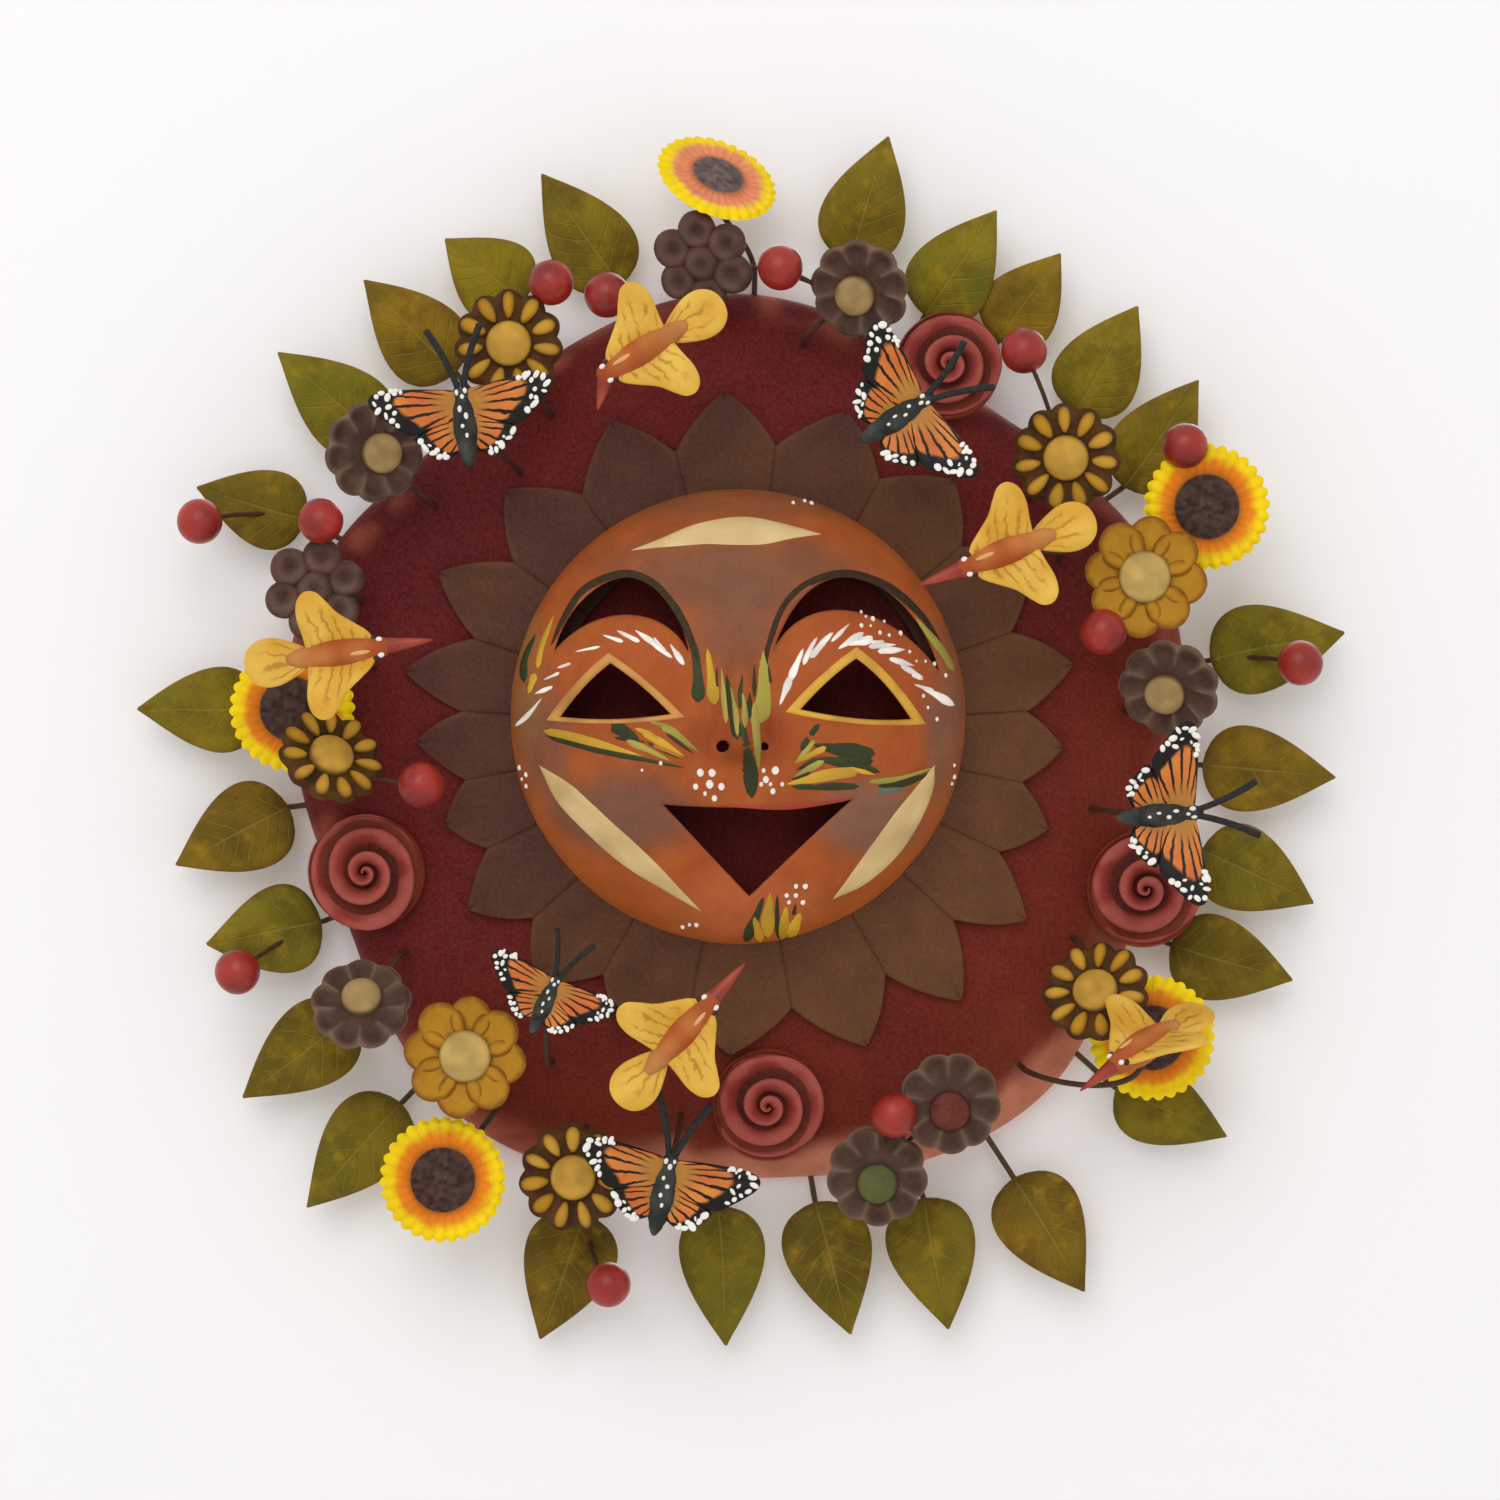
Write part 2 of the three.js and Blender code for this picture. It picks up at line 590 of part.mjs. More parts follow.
const FLOWERS = [
  { name: 'sunflower_top', kind: 'sunflower', at: [357.5, 29.2, 26], heading: 25, tilt: -48,
    root: [2, 'edge'] },
  { name: 'sunflower_right', kind: 'sunflower', at: [62.4, 18, 34], root: [64, 14],
    berries: [[55.6, 24, 40]] },
  { name: 'sunflower_left', kind: 'sunflower', at: [275.5, -4.6, 25], root: [276, 18] },
  { name: 'sunflower_lower_left', kind: 'sunflower', at: [214.6, 14, 35], root: [214, 16] },
  { name: 'sunflower_lower_right', kind: 'sunflower', at: [124.6, 14.3, 30], root: [128, 16] },
  { name: 'daisy_top_left', kind: 'daisy', at: [330.7, 7, 38], root: [331, 16],
    berries: [[338.3, 15.3, 40]] },
  { name: 'daisy_right', kind: 'daisy', at: [48, -2.7, 42], heading: 30, tilt: 12, root: [49, 18],
    berries: [[35.5, 16, 38]] },
  { name: 'daisy_left', kind: 'daisy', at: [268.5, -14, 42], heading: 35, tilt: -40, root: [266, 26],
    berries: [[264.1, -40, 46]] },
  { name: 'daisy_bottom', kind: 'daisy', at: [201.2, -1.9, 32], root: [202, 16] },
  { name: 'daisy_lower_right', kind: 'daisy', at: [124.2, -6.3, 37], heading: 333, tilt: -30,
    root: [119, 18] },
  { name: 'mustard_flower_right', kind: 'mustard', at: [66.7, -9.3, 40], root: [70, 20],
    berries: [[71.8, -27, 47]] },
  { name: 'mustard_flower_left', kind: 'mustard', at: [221.9, -18.7, 42], root: [222, 26] },
  { name: 'dark_flowers_top', kind: 'dark', at: [15, 7.6, 34], heading: 40, tilt: 25,
    root: [9, 14], berries: [[5, 5, 38]], twin: [356.4, 7.7, 28] },
  { name: 'dark_flower_upper_left', kind: 'dark', at: [309.3, 7.7, 38], heading: 280, tilt: 20,
    root: [309, 16] },
  { name: 'dark_flower_right', kind: 'dark', at: [81.1, -8, 36], heading: 33, tilt: 25, root: [84, 20] },
  { name: 'dark_flower_lower_left', kind: 'dark', at: [235.6, 1.9, 34], heading: 180, tilt: 30,
    root: [239, 16] },
  { name: 'dark_flower_left', kind: 'dark', at: [291, -5, 30], root: [292, 18],
    berries: [[299, 4, 40]] },
  { name: 'dark_flowers_bottom', kind: 'dark', at: [161.8, -2, 32], root: [158, 18],
    berries: [[156.7, -19.9, 42]], twin: [148.9, -18.1, 38] },
].map((row) => ({ heading: 0, tilt: 0, ...row }));

const BUTTERFLIES = [
  { name: 'butterfly_upper_left', at: [320.2, -6.1, 58], heading: 353, root: [322, 24] },
  { name: 'butterfly_upper_right', at: [25.5, -23.8, 58], heading: 57, root: [24, 26] },
  { name: 'butterfly_right', at: [98.5, -6.8, 58], heading: 86, root: [99, 24] },
  { name: 'butterfly_lower_left', at: [217.5, -48, 58], heading: 25, root: [211, 32], size: { share: 0.75 } },
  { name: 'butterfly_bottom', at: [189.6, -1.7, 54], heading: 13, root: [189, 22] },
].map((row) => ({ kind: 'butterfly', tilt: 0, ...row }));

const BIRDS = [
  { name: 'bird_top', at: [346.7, -18.1, 60], heading: 238, root: [349, 24],
    size: { beakTurn: -43, beakShare: 0.7 } },
  { name: 'bird_right', at: [53.3, -38.5, 62], heading: 249, root: [59, 26] },
  { name: 'bird_left', at: [283.9, -20.5, 62], heading: 82, root: [283, 28] },
  { name: 'bird_bottom', at: [191.3, -50.1, 62], heading: 42, root: [196, 28] },
  { name: 'bird_lower_right', at: [127.1, 12.8, 58], heading: 240, tilt: 35, roll: 50, root: [138, 13] },
].map((row) => ({ kind: 'bird', tilt: 0, ...row }));

const ROSES = [
  { name: 'rose_upper_right', at: [28.5, 1.2], share: 0.92 },
  { name: 'rose_left', at: [252.1, -13.3], share: 1 },
  { name: 'rose_bottom', at: [175.2, -24.4], share: 0.96 },
  { name: 'rose_right', at: [108.6, -1.8], share: 1 },
];

// Wires and their seats

function seatOf([clock, inset]) {
  const rim = rimRadius(clock);
  if (inset === 'edge') {
    return { point: onClock(clock, rim, EDGE_SOCKET_HEIGHT), out: onClock(clock, 1, 0) };
  }
  const flat = onClock(clock, rim - inset, 0);
  const point = new THREE.Vector3(flat.x, -frontDepth(flat.x, flat.z), flat.z);
  return { point, out: frontNormal(flat.x, flat.z) };
}

// A wire that leaves its seat straight, which takes one step, and bends to enter its ornament
class StemCurve extends THREE.Curve {
  constructor(seat, end, enters, steps) {
    super();
    this.straightShare = 1 / steps;
    this.inside = seat.point.clone().addScaledVector(seat.out, -SOCKET_DEPTH);
    this.outside = seat.point.clone().addScaledVector(seat.out, WIRE_RUN);
    const reach = 0.35 * this.outside.distanceTo(end);
    this.bend = new THREE.CubicBezierCurve3(
      this.outside,
      this.outside.clone().addScaledVector(seat.out, reach),
      end.clone().addScaledVector(enters, -reach),
      end);
  }

  getUtoTmapping(share) {
    return share;
  }

  getPoint(share, target = new THREE.Vector3()) {
    if (share < this.straightShare) {
      return target.lerpVectors(this.inside, this.outside, share / this.straightShare);
    }
    return this.bend.getPoint((share - this.straightShare) / (1 - this.straightShare), target);
  }
}

function stem(seat, end, enters, steps) {
  const curve = new StemCurve(seat, end, enters, steps);
  return { curve, solid: wire(curve, WIRE_RADIUS, steps) };
}

function twig(from, along, end) {
  const reach = 0.4 * from.distanceTo(end);
  const curve = new THREE.QuadraticBezierCurve3(from, from.clone().addScaledVector(along, reach), end);
  return wire(curve, TWIG_RADIUS, 2, 4);
}

function socket(seat) {
  const from = seat.point.clone().addScaledVector(seat.out, -SOCKET_DEPTH - CLEARANCE);
  const to = seat.point.clone().addScaledVector(seat.out, WIRE_RUN);
  return wire(new THREE.LineCurve3(from, to), WIRE_RADIUS + 1.2 * CLEARANCE, 1);
}

// The part

const sockets = [];
const pieces = new THREE.Group();
pieces.position.z = -HANG_DROP;

function addPiece(name, solid, paint) {
  const mesh = new THREE.Mesh(geometryOf(solid), new THREE.MeshStandardMaterial(PAINT[paint]));
  mesh.name = name;
  pieces.add(mesh);
  return mesh;
}

function standAt([clock, reach, depth]) {
  return onClock(clock, rimRadius(clock) + reach, depth);
}

function addOrnament({ name, kind, at, heading, tilt, roll = 0, root, size, berries = [], twin }) {
  const { make, paint, joint, enters, stemSteps } = KINDS[kind];
  const position = standAt(at);
  const turn = new THREE.Euler(radians(tilt), radians(heading), radians(roll), 'YXZ');
  const place = new THREE.Matrix4().makeRotationFromEuler(turn).setPosition(position);
  const home = place.clone().invert();

  const seat = seatOf(root);
  sockets.push(socket(seat));
  const localSeat = {
    point: seat.point.clone().applyMatrix4(home),
    out: seat.out.clone().transformDirection(home),
  };
  const main = stem(localSeat, new THREE.Vector3(...joint), enters, stemSteps);
  const solids = [make(size ?? {}), main.solid];

  const fork = main.curve.getPoint(0.55);
  const along = main.curve.getTangent(0.55);
  for (const berryAt of berries) {
    const spot = standAt(berryAt).applyMatrix4(home);
    solids.push(twig(fork, along, spot));
    solids.push(berry().translate(spot.toArray()));
  }
  if (twin) {
    const spot = standAt(twin).applyMatrix4(home);
    solids.push(twig(fork, along, spot.clone().add(new THREE.Vector3(...joint))));
    solids.push(make(size ?? {}).translate(spot.toArray()));
  }
  const mesh = addPiece(name, joined(solids), paint);
  mesh.position.copy(position);
  mesh.rotation.copy(turn);
}

function addRose({ name, at: [clock, reach], share }) {
  const radius = ROSE_RADIUS * share;
  const flat = onClock(clock, rimRadius(clock) + reach, 0);
  const inner = onClock(clock, Math.min(rimRadius(clock) + reach, rimRadius(clock) - radius), 0);
  const depth = frontDepth(inner.x, inner.z);
  const rough = rose(depth - ROSE_BACK_DEPTH, radius).translate([flat.x, -depth, flat.z]);
  addPiece(name, rough.subtract(discBlank(CLEARANCE)).subtract(rays(CLEARANCE)), 'rosePink');
}

// Hanging wire: a bent steel loop whose two legs sit in the back of the disc
function hangerPath() {
  const legHeight = HANG_DROP - HANGER_HEIGHT;
  const half = HANGER_SPREAD / 2;
  const slab = (x) => frontDepth(x, legHeight) - DISC_WALL;
  const legDepth = slab(half);
  const leg = (hand) => [
    new THREE.Vector3(hand * half, -legDepth - SOCKET_DEPTH, legHeight),
    new THREE.Vector3(hand * half, -legDepth, legHeight),
    new THREE.Vector3(hand * half, -HANGER_STANDOFF - 0.4 * HANGER_BEND, legHeight + 0.1 * HANGER_BEND),
    new THREE.Vector3(hand * half * 0.85, -HANGER_STANDOFF, legHeight + HANGER_BEND),
  ];
  const top = new THREE.Vector3(0, -HANGER_STANDOFF, HANG_DROP - HANGER_RADIUS);
  const shoulder = (hand) => new THREE.Vector3(hand * HANGER_EYE, -HANGER_STANDOFF, HANG_DROP - HANGER_EYE);
  return new THREE.CatmullRomCurve3([...leg(-1), shoulder(-1), top, shoulder(1), ...leg(1).reverse()],
    false, 'centripetal');
}

function addHanger() {
  const path = hangerPath();
  const legs = [path.points[0], path.points[path.points.length - 1]];
  for (const end of legs) {
    const from = end.clone().add(new THREE.Vector3(0, -CLEARANCE, 0));
    const to = new THREE.Vector3(end.x, CLEARANCE, end.z);
    sockets.push(wire(new THREE.LineCurve3(from, to), HANGER_RADIUS + 2 * CLEARANCE, 1));
  }
  addPiece('hanging_wire', wire(path, HANGER_RADIUS, 18), 'steel');
}

for (const row of [...LEAVES, ...FLOWERS, ...BUTTERFLIES, ...BIRDS]) addOrnament(row);
for (const row of ROSES) addRose(row);
addHanger();
addPiece('sun_face', face(), 'terracotta');
const body = disc().add(rays());
addPiece('sun_disc', sockets.reduce((solid, hole) => solid.subtract(hole), body), 'maroon');

const sun = new THREE.Group();
sun.add(pieces);

export default sun;
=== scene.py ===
import bmesh
import bpy
import numpy as np
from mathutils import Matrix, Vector
from mathutils.geometry import delaunay_2d_cdt


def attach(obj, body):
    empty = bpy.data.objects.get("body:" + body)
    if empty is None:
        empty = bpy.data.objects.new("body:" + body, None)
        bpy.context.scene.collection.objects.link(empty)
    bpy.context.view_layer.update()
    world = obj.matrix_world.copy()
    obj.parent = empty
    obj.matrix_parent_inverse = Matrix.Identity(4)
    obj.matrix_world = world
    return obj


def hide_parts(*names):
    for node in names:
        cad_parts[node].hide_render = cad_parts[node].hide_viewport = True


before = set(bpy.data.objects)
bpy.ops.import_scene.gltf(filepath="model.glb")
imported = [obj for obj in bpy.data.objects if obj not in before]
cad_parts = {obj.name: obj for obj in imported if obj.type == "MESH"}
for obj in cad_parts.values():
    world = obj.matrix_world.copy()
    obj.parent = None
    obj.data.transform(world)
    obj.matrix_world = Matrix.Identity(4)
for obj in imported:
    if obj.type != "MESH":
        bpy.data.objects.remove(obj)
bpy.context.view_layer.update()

# Sizes, as in the solids
RIM_RADIUS, RIM_LOBES, RIM_LOBE_HEIGHT, RIM_LOBE_TURN = 136.5, 5, 5.0, -2.0
RIM_THICKNESS, RIM_ROUNDING, RIM_LAND, DOME_RISE, DISC_WALL = 12.0, 9.0, 14.0, 18.0, 10.0
RAYS_ACROSS, RAYS_RAISE, RAY_ROOT, RAY_VALLEY, RAY_LENGTH = 1.8, 7.3, 58.0, 85.5, 16.0
FACE_RADIUS, FACE_RAISE, FACE_RISE, FACE_WALL = 69.0, 10.5, 34.0, 5.0
NOSE_HEIGHT, LID_HEIGHT, CHEEK_HEIGHT = 12.0, 5.0, 3.0
WIRE_RADIUS, TWIG_RADIUS, SOCKET_DEPTH, WIRE_RUN, EDGE_SOCKET_HEIGHT = 0.9, 0.7, 7.0, 4.0, 4.5
HANG_DROP, HANGER_RADIUS, HANGER_SPREAD, HANGER_HEIGHT = 96.0, 1.2, 26.0, 30.0
HANGER_STANDOFF, HANGER_BEND, HANGER_EYE = 2.2, 8.0, 3.5
BERRY_RADIUS, SUNFLOWER_RADIUS, DAISY_RADIUS, DARK_CUP_RADIUS = 7.0, 19.0, 16.4, 15.3
ROSE_RADIUS, ROSE_HEIGHT, ROSE_BACK_DEPTH = 18.0, 13.0, 12.0


# Colours and grain

def tone(paint):
    """A colour in the linear numbers that a surface uses. It may be written as in a paint box."""
    if not isinstance(paint, str):
        return np.asarray(paint, float)
    channel = np.array([int(paint[i:i + 2], 16) for i in (1, 3, 5)]) / 255
    return np.where(channel <= 0.04045, channel / 12.92, ((channel + 0.055) / 1.055) ** 2.4)


def blend(first, second, share):
    share = np.clip(np.asarray(share, float), 0, 1)[..., None]
    return tone(first) * (1 - share) + tone(second) * share


def coated(paint, *coats):
    """Paint with further coats over it, each as a colour's code and its share."""
    for code, share in coats:
        paint = blend(paint, code, share)
    return paint


def ramp(low, high, value):
    """Smoothly from 0 at `low` to 1 at `high`."""
    share = np.clip((np.asarray(value, float) - low) / (high - low), 0, 1)
    return share * share * (3 - 2 * share)


def lumps(points, size, seed=0):
    """Smooth noise from -1 to 1 whose lumps are about `size` across."""
    spot = np.asarray(points, float) / size + 17.31 * (seed + 1)
    cell = np.floor(spot).astype(np.int64)
    part = spot - cell
    part = part * part * (3 - 2 * part)
    total = np.zeros(len(spot))
    for corner in range(8):
        step = np.array([(corner >> axis) & 1 for axis in range(3)])
        key = (cell + step) @ np.array([73856093, 19349663, 83492791])
        key = ((key ^ (key >> 13)) * 1274126177) & 0x7FFFFFFF
        key = ((key ^ (key >> 11)) * 668265263) & 0x7FFFFFFF
        total += np.where(step, part, 1 - part).prod(axis=1) * (key % 10007) / 10007
    return 2 * total - 1


# Skins: points, faces, paint, and a place on the form for drawn lines

def facing_out(points, faces, facing):
    """Faces turned to look out from the middle, or along `facing`."""
    triangles = [f[:, :3] for f in faces] + [f[:, [0, 2, 3]] for f in faces if f.shape[1] == 4]
    a, b, c = points[np.concatenate(triangles).T]
    way = a - points.mean(axis=0) if facing is None else np.array(facing)
    return faces if (np.cross(b - a, c - a) * way).sum() >= 0 else [f[:, ::-1] for f in faces]


def skin(points, faces, paint, finish="clay", shape=(0, 0, 0), facing=None):
    points = np.asarray(points, float)
    paint, shape = (np.broadcast_to(values, (len(points), 3)) for values in (tone(paint), shape))
    return {"points": points, "faces": facing_out(points, faces, facing), "paint": paint,
            "finish": finish, "shape": shape}


def on_show(points, faces, paint, finish="brush"):
    """An open skin that looks to the front."""
    return skin(points, faces, paint, finish, facing=(0, -1, 0))


def loft(rings, first=None, last=None):
    """A skin over rings of points, closed to a point at either end that is given."""
    rings = np.asarray(rings, float)
    count, sides, _ = rings.shape
    index = np.arange(count * sides).reshape(count, sides)
    after = np.roll(index, -1, axis=1)
    faces = [np.stack([index[:-1], after[:-1], after[1:], index[1:]], -1).reshape(-1, 4)]
    points = [rings.reshape(-1, 3)]
    total = count * sides
    for end, row, flip in ((first, 0, True), (last, count - 1, False)):
        if end is None:
            continue
        points.append(np.asarray(end, float)[None])
        fan = np.stack([index[row], after[row], np.full(sides, total)], -1)
        faces.append(fan[:, ::-1] if flip else fan)
        total += 1
    return np.concatenate(points), faces


def patch(grid):
    """An open sheet over a grid of points."""
    grid = np.asarray(grid, float)
    rows, columns, _ = grid.shape
    index = np.arange(rows * columns).reshape(rows, columns)
    faces = np.stack([index[:-1, :-1], index[:-1, 1:], index[1:, 1:], index[1:, :-1]], -1)
    return grid.reshape(-1, 3), [faces.reshape(-1, 4)]


def stacked(*values):
    """Numbers or rows of them, side by side as the coordinates of points."""
    return np.stack(np.broadcast_arrays(*values), -1).astype(float)


def around(clock, radius, depth):
    """A clock angle in degrees runs clockwise from the top, as seen from the front."""
    turn = np.radians(clock)
    return stacked(radius * np.sin(turn), -np.asarray(depth, float), radius * np.cos(turn))


def profile(under):
    """Places across a leaf or a ray, from -1 to 1 over its top and back underneath."""
    over = 17
    across = [-np.cos(np.linspace(0, np.pi, over)), np.cos(np.linspace(0, np.pi, under))[1:-1]]
    across = np.concatenate(across)
    return across, np.arange(len(across)) < over


def flipped(made):
    """A skin that looks the other way."""
    return {**made, "faces": [faces[:, ::-1] for faces in made["faces"]]}


def curve_through(points, steps):
    """A Catmull-Rom curve."""
    points = np.asarray(points, float)
    ends = np.concatenate([[2 * points[0] - points[1]], points, [2 * points[-1] - points[-2]]])
    a, b, c, d = (ends[i:len(ends) - 3 + i, None] for i in range(4))
    share = np.linspace(0, 1, steps, endpoint=False)[None, :, None]
    line = 0.5 * (2 * b + (c - a) * share + (2 * a - 5 * b + 4 * c - d) * share ** 2
                  + (3 * b - a - 3 * c + d) * share ** 3)
    return np.concatenate([line.reshape(-1, points.shape[1]), points[-1:]])


def bezier(*controls, steps=16):
    share = np.linspace(0, 1, steps + 1)[:, None]
    controls = [np.asarray(p, float) for p in controls]
    while len(controls) > 1:
        controls = [a * (1 - share) + b * share for a, b in zip(controls, controls[1:])]
    return controls[0]


def tube(path, radius, paint, finish="wire", sides=10):
    path = np.asarray(path, float)
    radius = np.broadcast_to(radius, len(path))
    along = np.gradient(path, axis=0)
    along /= np.linalg.norm(along, axis=1)[:, None]
    side = np.cross(along[0], [0.31, 0.83, 0.47])
    turn = np.linspace(0, 2 * np.pi, sides, endpoint=False)[:, None]
    rings = []
    for point, ahead, thick in zip(path, along, radius):
        side = side - (side @ ahead) * ahead
        side /= np.linalg.norm(side)
        rings.append(point + thick * (np.cos(turn) * side + np.sin(turn) * np.cross(ahead, side)))
    points, faces = loft(rings, path[0] - 0.4 * radius[0] * along[0], path[-1] + 0.4 * radius[-1] * along[-1])
    return skin(points, faces, paint, finish)


def ball(centre, size, paint, finish="clay", rows=10, sides=20, rough=0.0, seed=0):
    """An egg with half axes `size`."""
    rise = np.pi * (np.arange(1, rows) / rows)[:, None]
    turn = np.linspace(0, 2 * np.pi, sides, endpoint=False)
    unit = stacked(np.sin(rise) * np.cos(turn), np.sin(rise) * np.sin(turn), np.cos(rise))
    points, faces = loft(unit, [0, 0, 1], [0, 0, -1])
    swell = 1 + rough * lumps(points, 0.9, seed)[:, None]
    return skin(points * swell * size + centre, faces, paint, finish)


def dish(columns, shares, radius, front, back):
    """A round thing. `radius` and `front` take a share of the way out and an angle. `back` is how far
    its back stands off in the middle, and how much more at the edge. Gives its points and faces,
    and each point's share, less than 0 on the back, and angle."""
    turn = np.linspace(0, 2 * np.pi, columns, endpoint=False)
    clock, low, rise = np.degrees(turn), *back
    rings = [around(clock, radius(share, turn), front(share, turn)) for share in shares]
    rings += [around(clock, radius(share, turn) * (1 - 0.03 * share), low + rise * share ** 2)
              for share in shares[::-1]]
    where = [stacked(share, turn) for share in (*shares, *-np.array(shares[::-1]))]
    middle = float(np.mean(front(0.0, np.zeros(1))))
    points, faces = loft(rings, [0, -middle, 0], [0, -low, 0])
    return points, faces, *np.concatenate(where + [[[0.0, 0.0], [-0.01, 0.0]]]).T


def petals(turn, count):
    """1 along the middle of each petal and 0 between two."""
    return np.abs(np.cos(count * turn / 2))


def turned(skins, matrix=np.eye(3), offset=(0, 0, 0)):
    return [{**s, "points": s["points"] @ matrix.T + offset} for s in skins]


def rotation(heading=0.0, tilt=0.0, roll=0.0):
    h, t, r = np.radians([heading, tilt, roll])
    about_y = np.array([[np.cos(h), 0, np.sin(h)], [0, 1, 0], [-np.sin(h), 0, np.cos(h)]])
    about_x = np.array([[1, 0, 0], [0, np.cos(t), -np.sin(t)], [0, np.sin(t), np.cos(t)]])
    about_z = np.array([[np.cos(r), -np.sin(r), 0], [np.sin(r), np.cos(r), 0], [0, 0, 1]])
    return about_y @ about_x @ about_z


# Places on the disc

def rim_radius(clock):
    """The disc isn't quite round: it has five soft corners."""
    return RIM_RADIUS + RIM_LOBE_HEIGHT * np.cos(RIM_LOBES * np.radians(clock - RIM_LOBE_TURN))


def dome_depth(radius, rim):
    """How far the disc's front is off the wall."""
    share = radius / rim
    into = np.maximum(0, radius - (rim - RIM_ROUNDING)) / RIM_ROUNDING
    return (RIM_THICKNESS + DOME_RISE * (1 - share * share)
            - RIM_ROUNDING * (1 - np.sqrt(np.maximum(0, 1 - into * into))))


def rim_toward(x, z):
    return rim_radius(np.degrees(np.arctan2(x, z)))


def front_depth(x, z):
    """The same, for a place right of and above the disc's centre."""
    return dome_depth(np.hypot(x, z), rim_toward(x, z))


def normal_of(depth, x, z, step):
    """The way out of a surface that is given by its depth."""
    slope_x = (depth(x + step, z) - depth(x - step, z)) / (2 * step)
    slope_z = (depth(x, z + step) - depth(x, z - step)) / (2 * step)
    normal = stacked(-slope_x, -1, -slope_z)
    return normal / np.linalg.norm(normal, axis=-1)[..., None]


def stand_at(clock, reach, depth):
    """A place at a clock angle, a reach beyond the rim and a depth off the wall."""
    return around(clock, rim_radius(clock) + reach, depth)


def seat_of(clock, inset):
    """Where a wire comes out of the disc, and which way: at its edge, or `inset` from it on the front."""
    rim = rim_radius(clock)
    if inset == "edge":
        return around(clock, rim, EDGE_SOCKET_HEIGHT), around(clock, 1, 0)
    x, _, z = around(clock, rim - inset, 0)
    return stacked(x, -front_depth(x, z), z), normal_of(front_depth, x, z, 0.5)


# Finishes

class Nodes:
    """The nodes of a material or a world, joined as they are made."""

    def __init__(self, owner):
        owner.use_nodes = True
        self.owner, self.tree = owner, owner.node_tree
        self.tree.nodes.clear()

    def put(self, inlets, values):
        for inlet, value in zip(inlets, values):
            if isinstance(value, bpy.types.NodeSocket):
                self.tree.links.new(value, inlet)
            elif isinstance(value, (str, np.ndarray)):
                inlet.default_value = [*map(float, tone(value)), 1.0][:len(inlet.default_value)]
            else:
                inlet.default_value = value

    def make(self, kind, outlet=0, settings=None, values=None, **inlets):
        node = self.tree.nodes.new("ShaderNode" + kind)
        for key, value in (settings or {}).items():
            setattr(node, key, value)
        self.put(node.inputs, values or ())
        self.put([node.inputs[key.replace("_", " ")] for key in inlets], inlets.values())
        return node.outputs[outlet]

    def math(self, operation, *values):
        return self.make("Math", settings={"operation": operation}, values=[*values, 0.0, 0.0][:3])

    def times(self, *values):
        return self.math("MULTIPLY", *values)

    def plus(self, *values):
        return self.math("ADD", *values)

    def minus(self, *values):
        return self.math("SUBTRACT", *values)

    def larger(self, *values):
        return self.math("MAXIMUM", *values)

    def times_plus(self, *values):
        return self.math("MULTIPLY_ADD", *values)

    def band(self, value, low, high):
        """0 below `low` and 1 above `high`, or the other way round if low is more."""
        flip = low > high
        return self.make("MapRange", settings={"interpolation_type": "SMOOTHSTEP"},
                         values=(value, min(low, high), max(low, high), float(flip), float(not flip)))

    def mix(self, share, first, second):
        node = self.tree.nodes.new("ShaderNodeMix")
        node.data_type = "RGBA"
        inlets = {inlet.identifier: inlet for inlet in node.inputs}
        self.put([inlets[name] for name in ("Factor_Float", "A_Color", "B_Color")], (share, first, second))
        return next(o for o in node.outputs if o.identifier == "Result_Color")

    def noise(self, size, detail=3.0, roughness=0.55):
        """Noise whose lumps are about `size` millimetres across."""
        return self.make("TexNoise", "Fac", Vector=self.make("TexCoord", "Object"), Scale=1000 / size,
                         Detail=detail, Roughness=roughness)

    def paint(self):
        return self.make("Attribute", "Color", {"attribute_name": "paint"})

    def stripes(self, value, wander, seed):
        """How far from the middle of the nearest of seven wandering lines, up to 0.5 between two."""
        step = self.math("FRACT", self.times_plus(self.plus(value, wander), 7.0, seed))
        return self.math("ABSOLUTE", self.minus(step, 0.5))

    def shape(self):
        split = self.tree.nodes.new("ShaderNodeSeparateXYZ")
        self.put(split.inputs, [self.make("Attribute", "Vector", {"attribute_name": "shape"})])
        return split.outputs

    def surface(self, colour, bumps, rough, specular, coat=0.0, metallic=0.0):
        """Bumps are height, strength and distance, broad ones first. `rough` is the least and the most
        roughness, and what spreads it: a value, or the size of its noise."""
        normal = {}
        for height, strength, distance in bumps:
            bump = self.make("Bump", Height=height, Strength=strength, Distance=distance, **normal)
            normal = {"Normal": bump}
        least, most, spread = rough
        spread = self.noise(spread) if isinstance(spread, (int, float)) else spread
        roughness = self.make("MapRange", "Result", Value=spread, To_Min=least, To_Max=most)
        return self.result("Material", self.make(
            "BsdfPrincipled", Base_Color=colour, Roughness=roughness, Coat_Weight=coat, Coat_Roughness=0.2,
            Metallic=metallic, Specular_IOR_Level=specular, **normal))

    def result(self, kind, shader):
        self.put(self.tree.nodes.new("ShaderNodeOutput" + kind).inputs, [shader])
        return self.owner


def material(name):
    return Nodes(bpy.data.materials.new(name))


def brushed(nodes, amount):
    """Uneven hand painting: broad thin and thick places and a fine speckle."""
    colour = nodes.paint()
    broad = nodes.band(nodes.noise(9, 4.0, 0.6), 0.32, 0.68)
    fine = nodes.band(nodes.noise(1.1, 2.0), 0.3, 0.7)
    thin = nodes.mix(nodes.times(broad, amount), colour, nodes.mix(0.5, colour, "#2a0d08"))
    return nodes.mix(nodes.times(fine, 0.5 * amount), thin, nodes.mix(0.16, thin, "#e0b27c"))


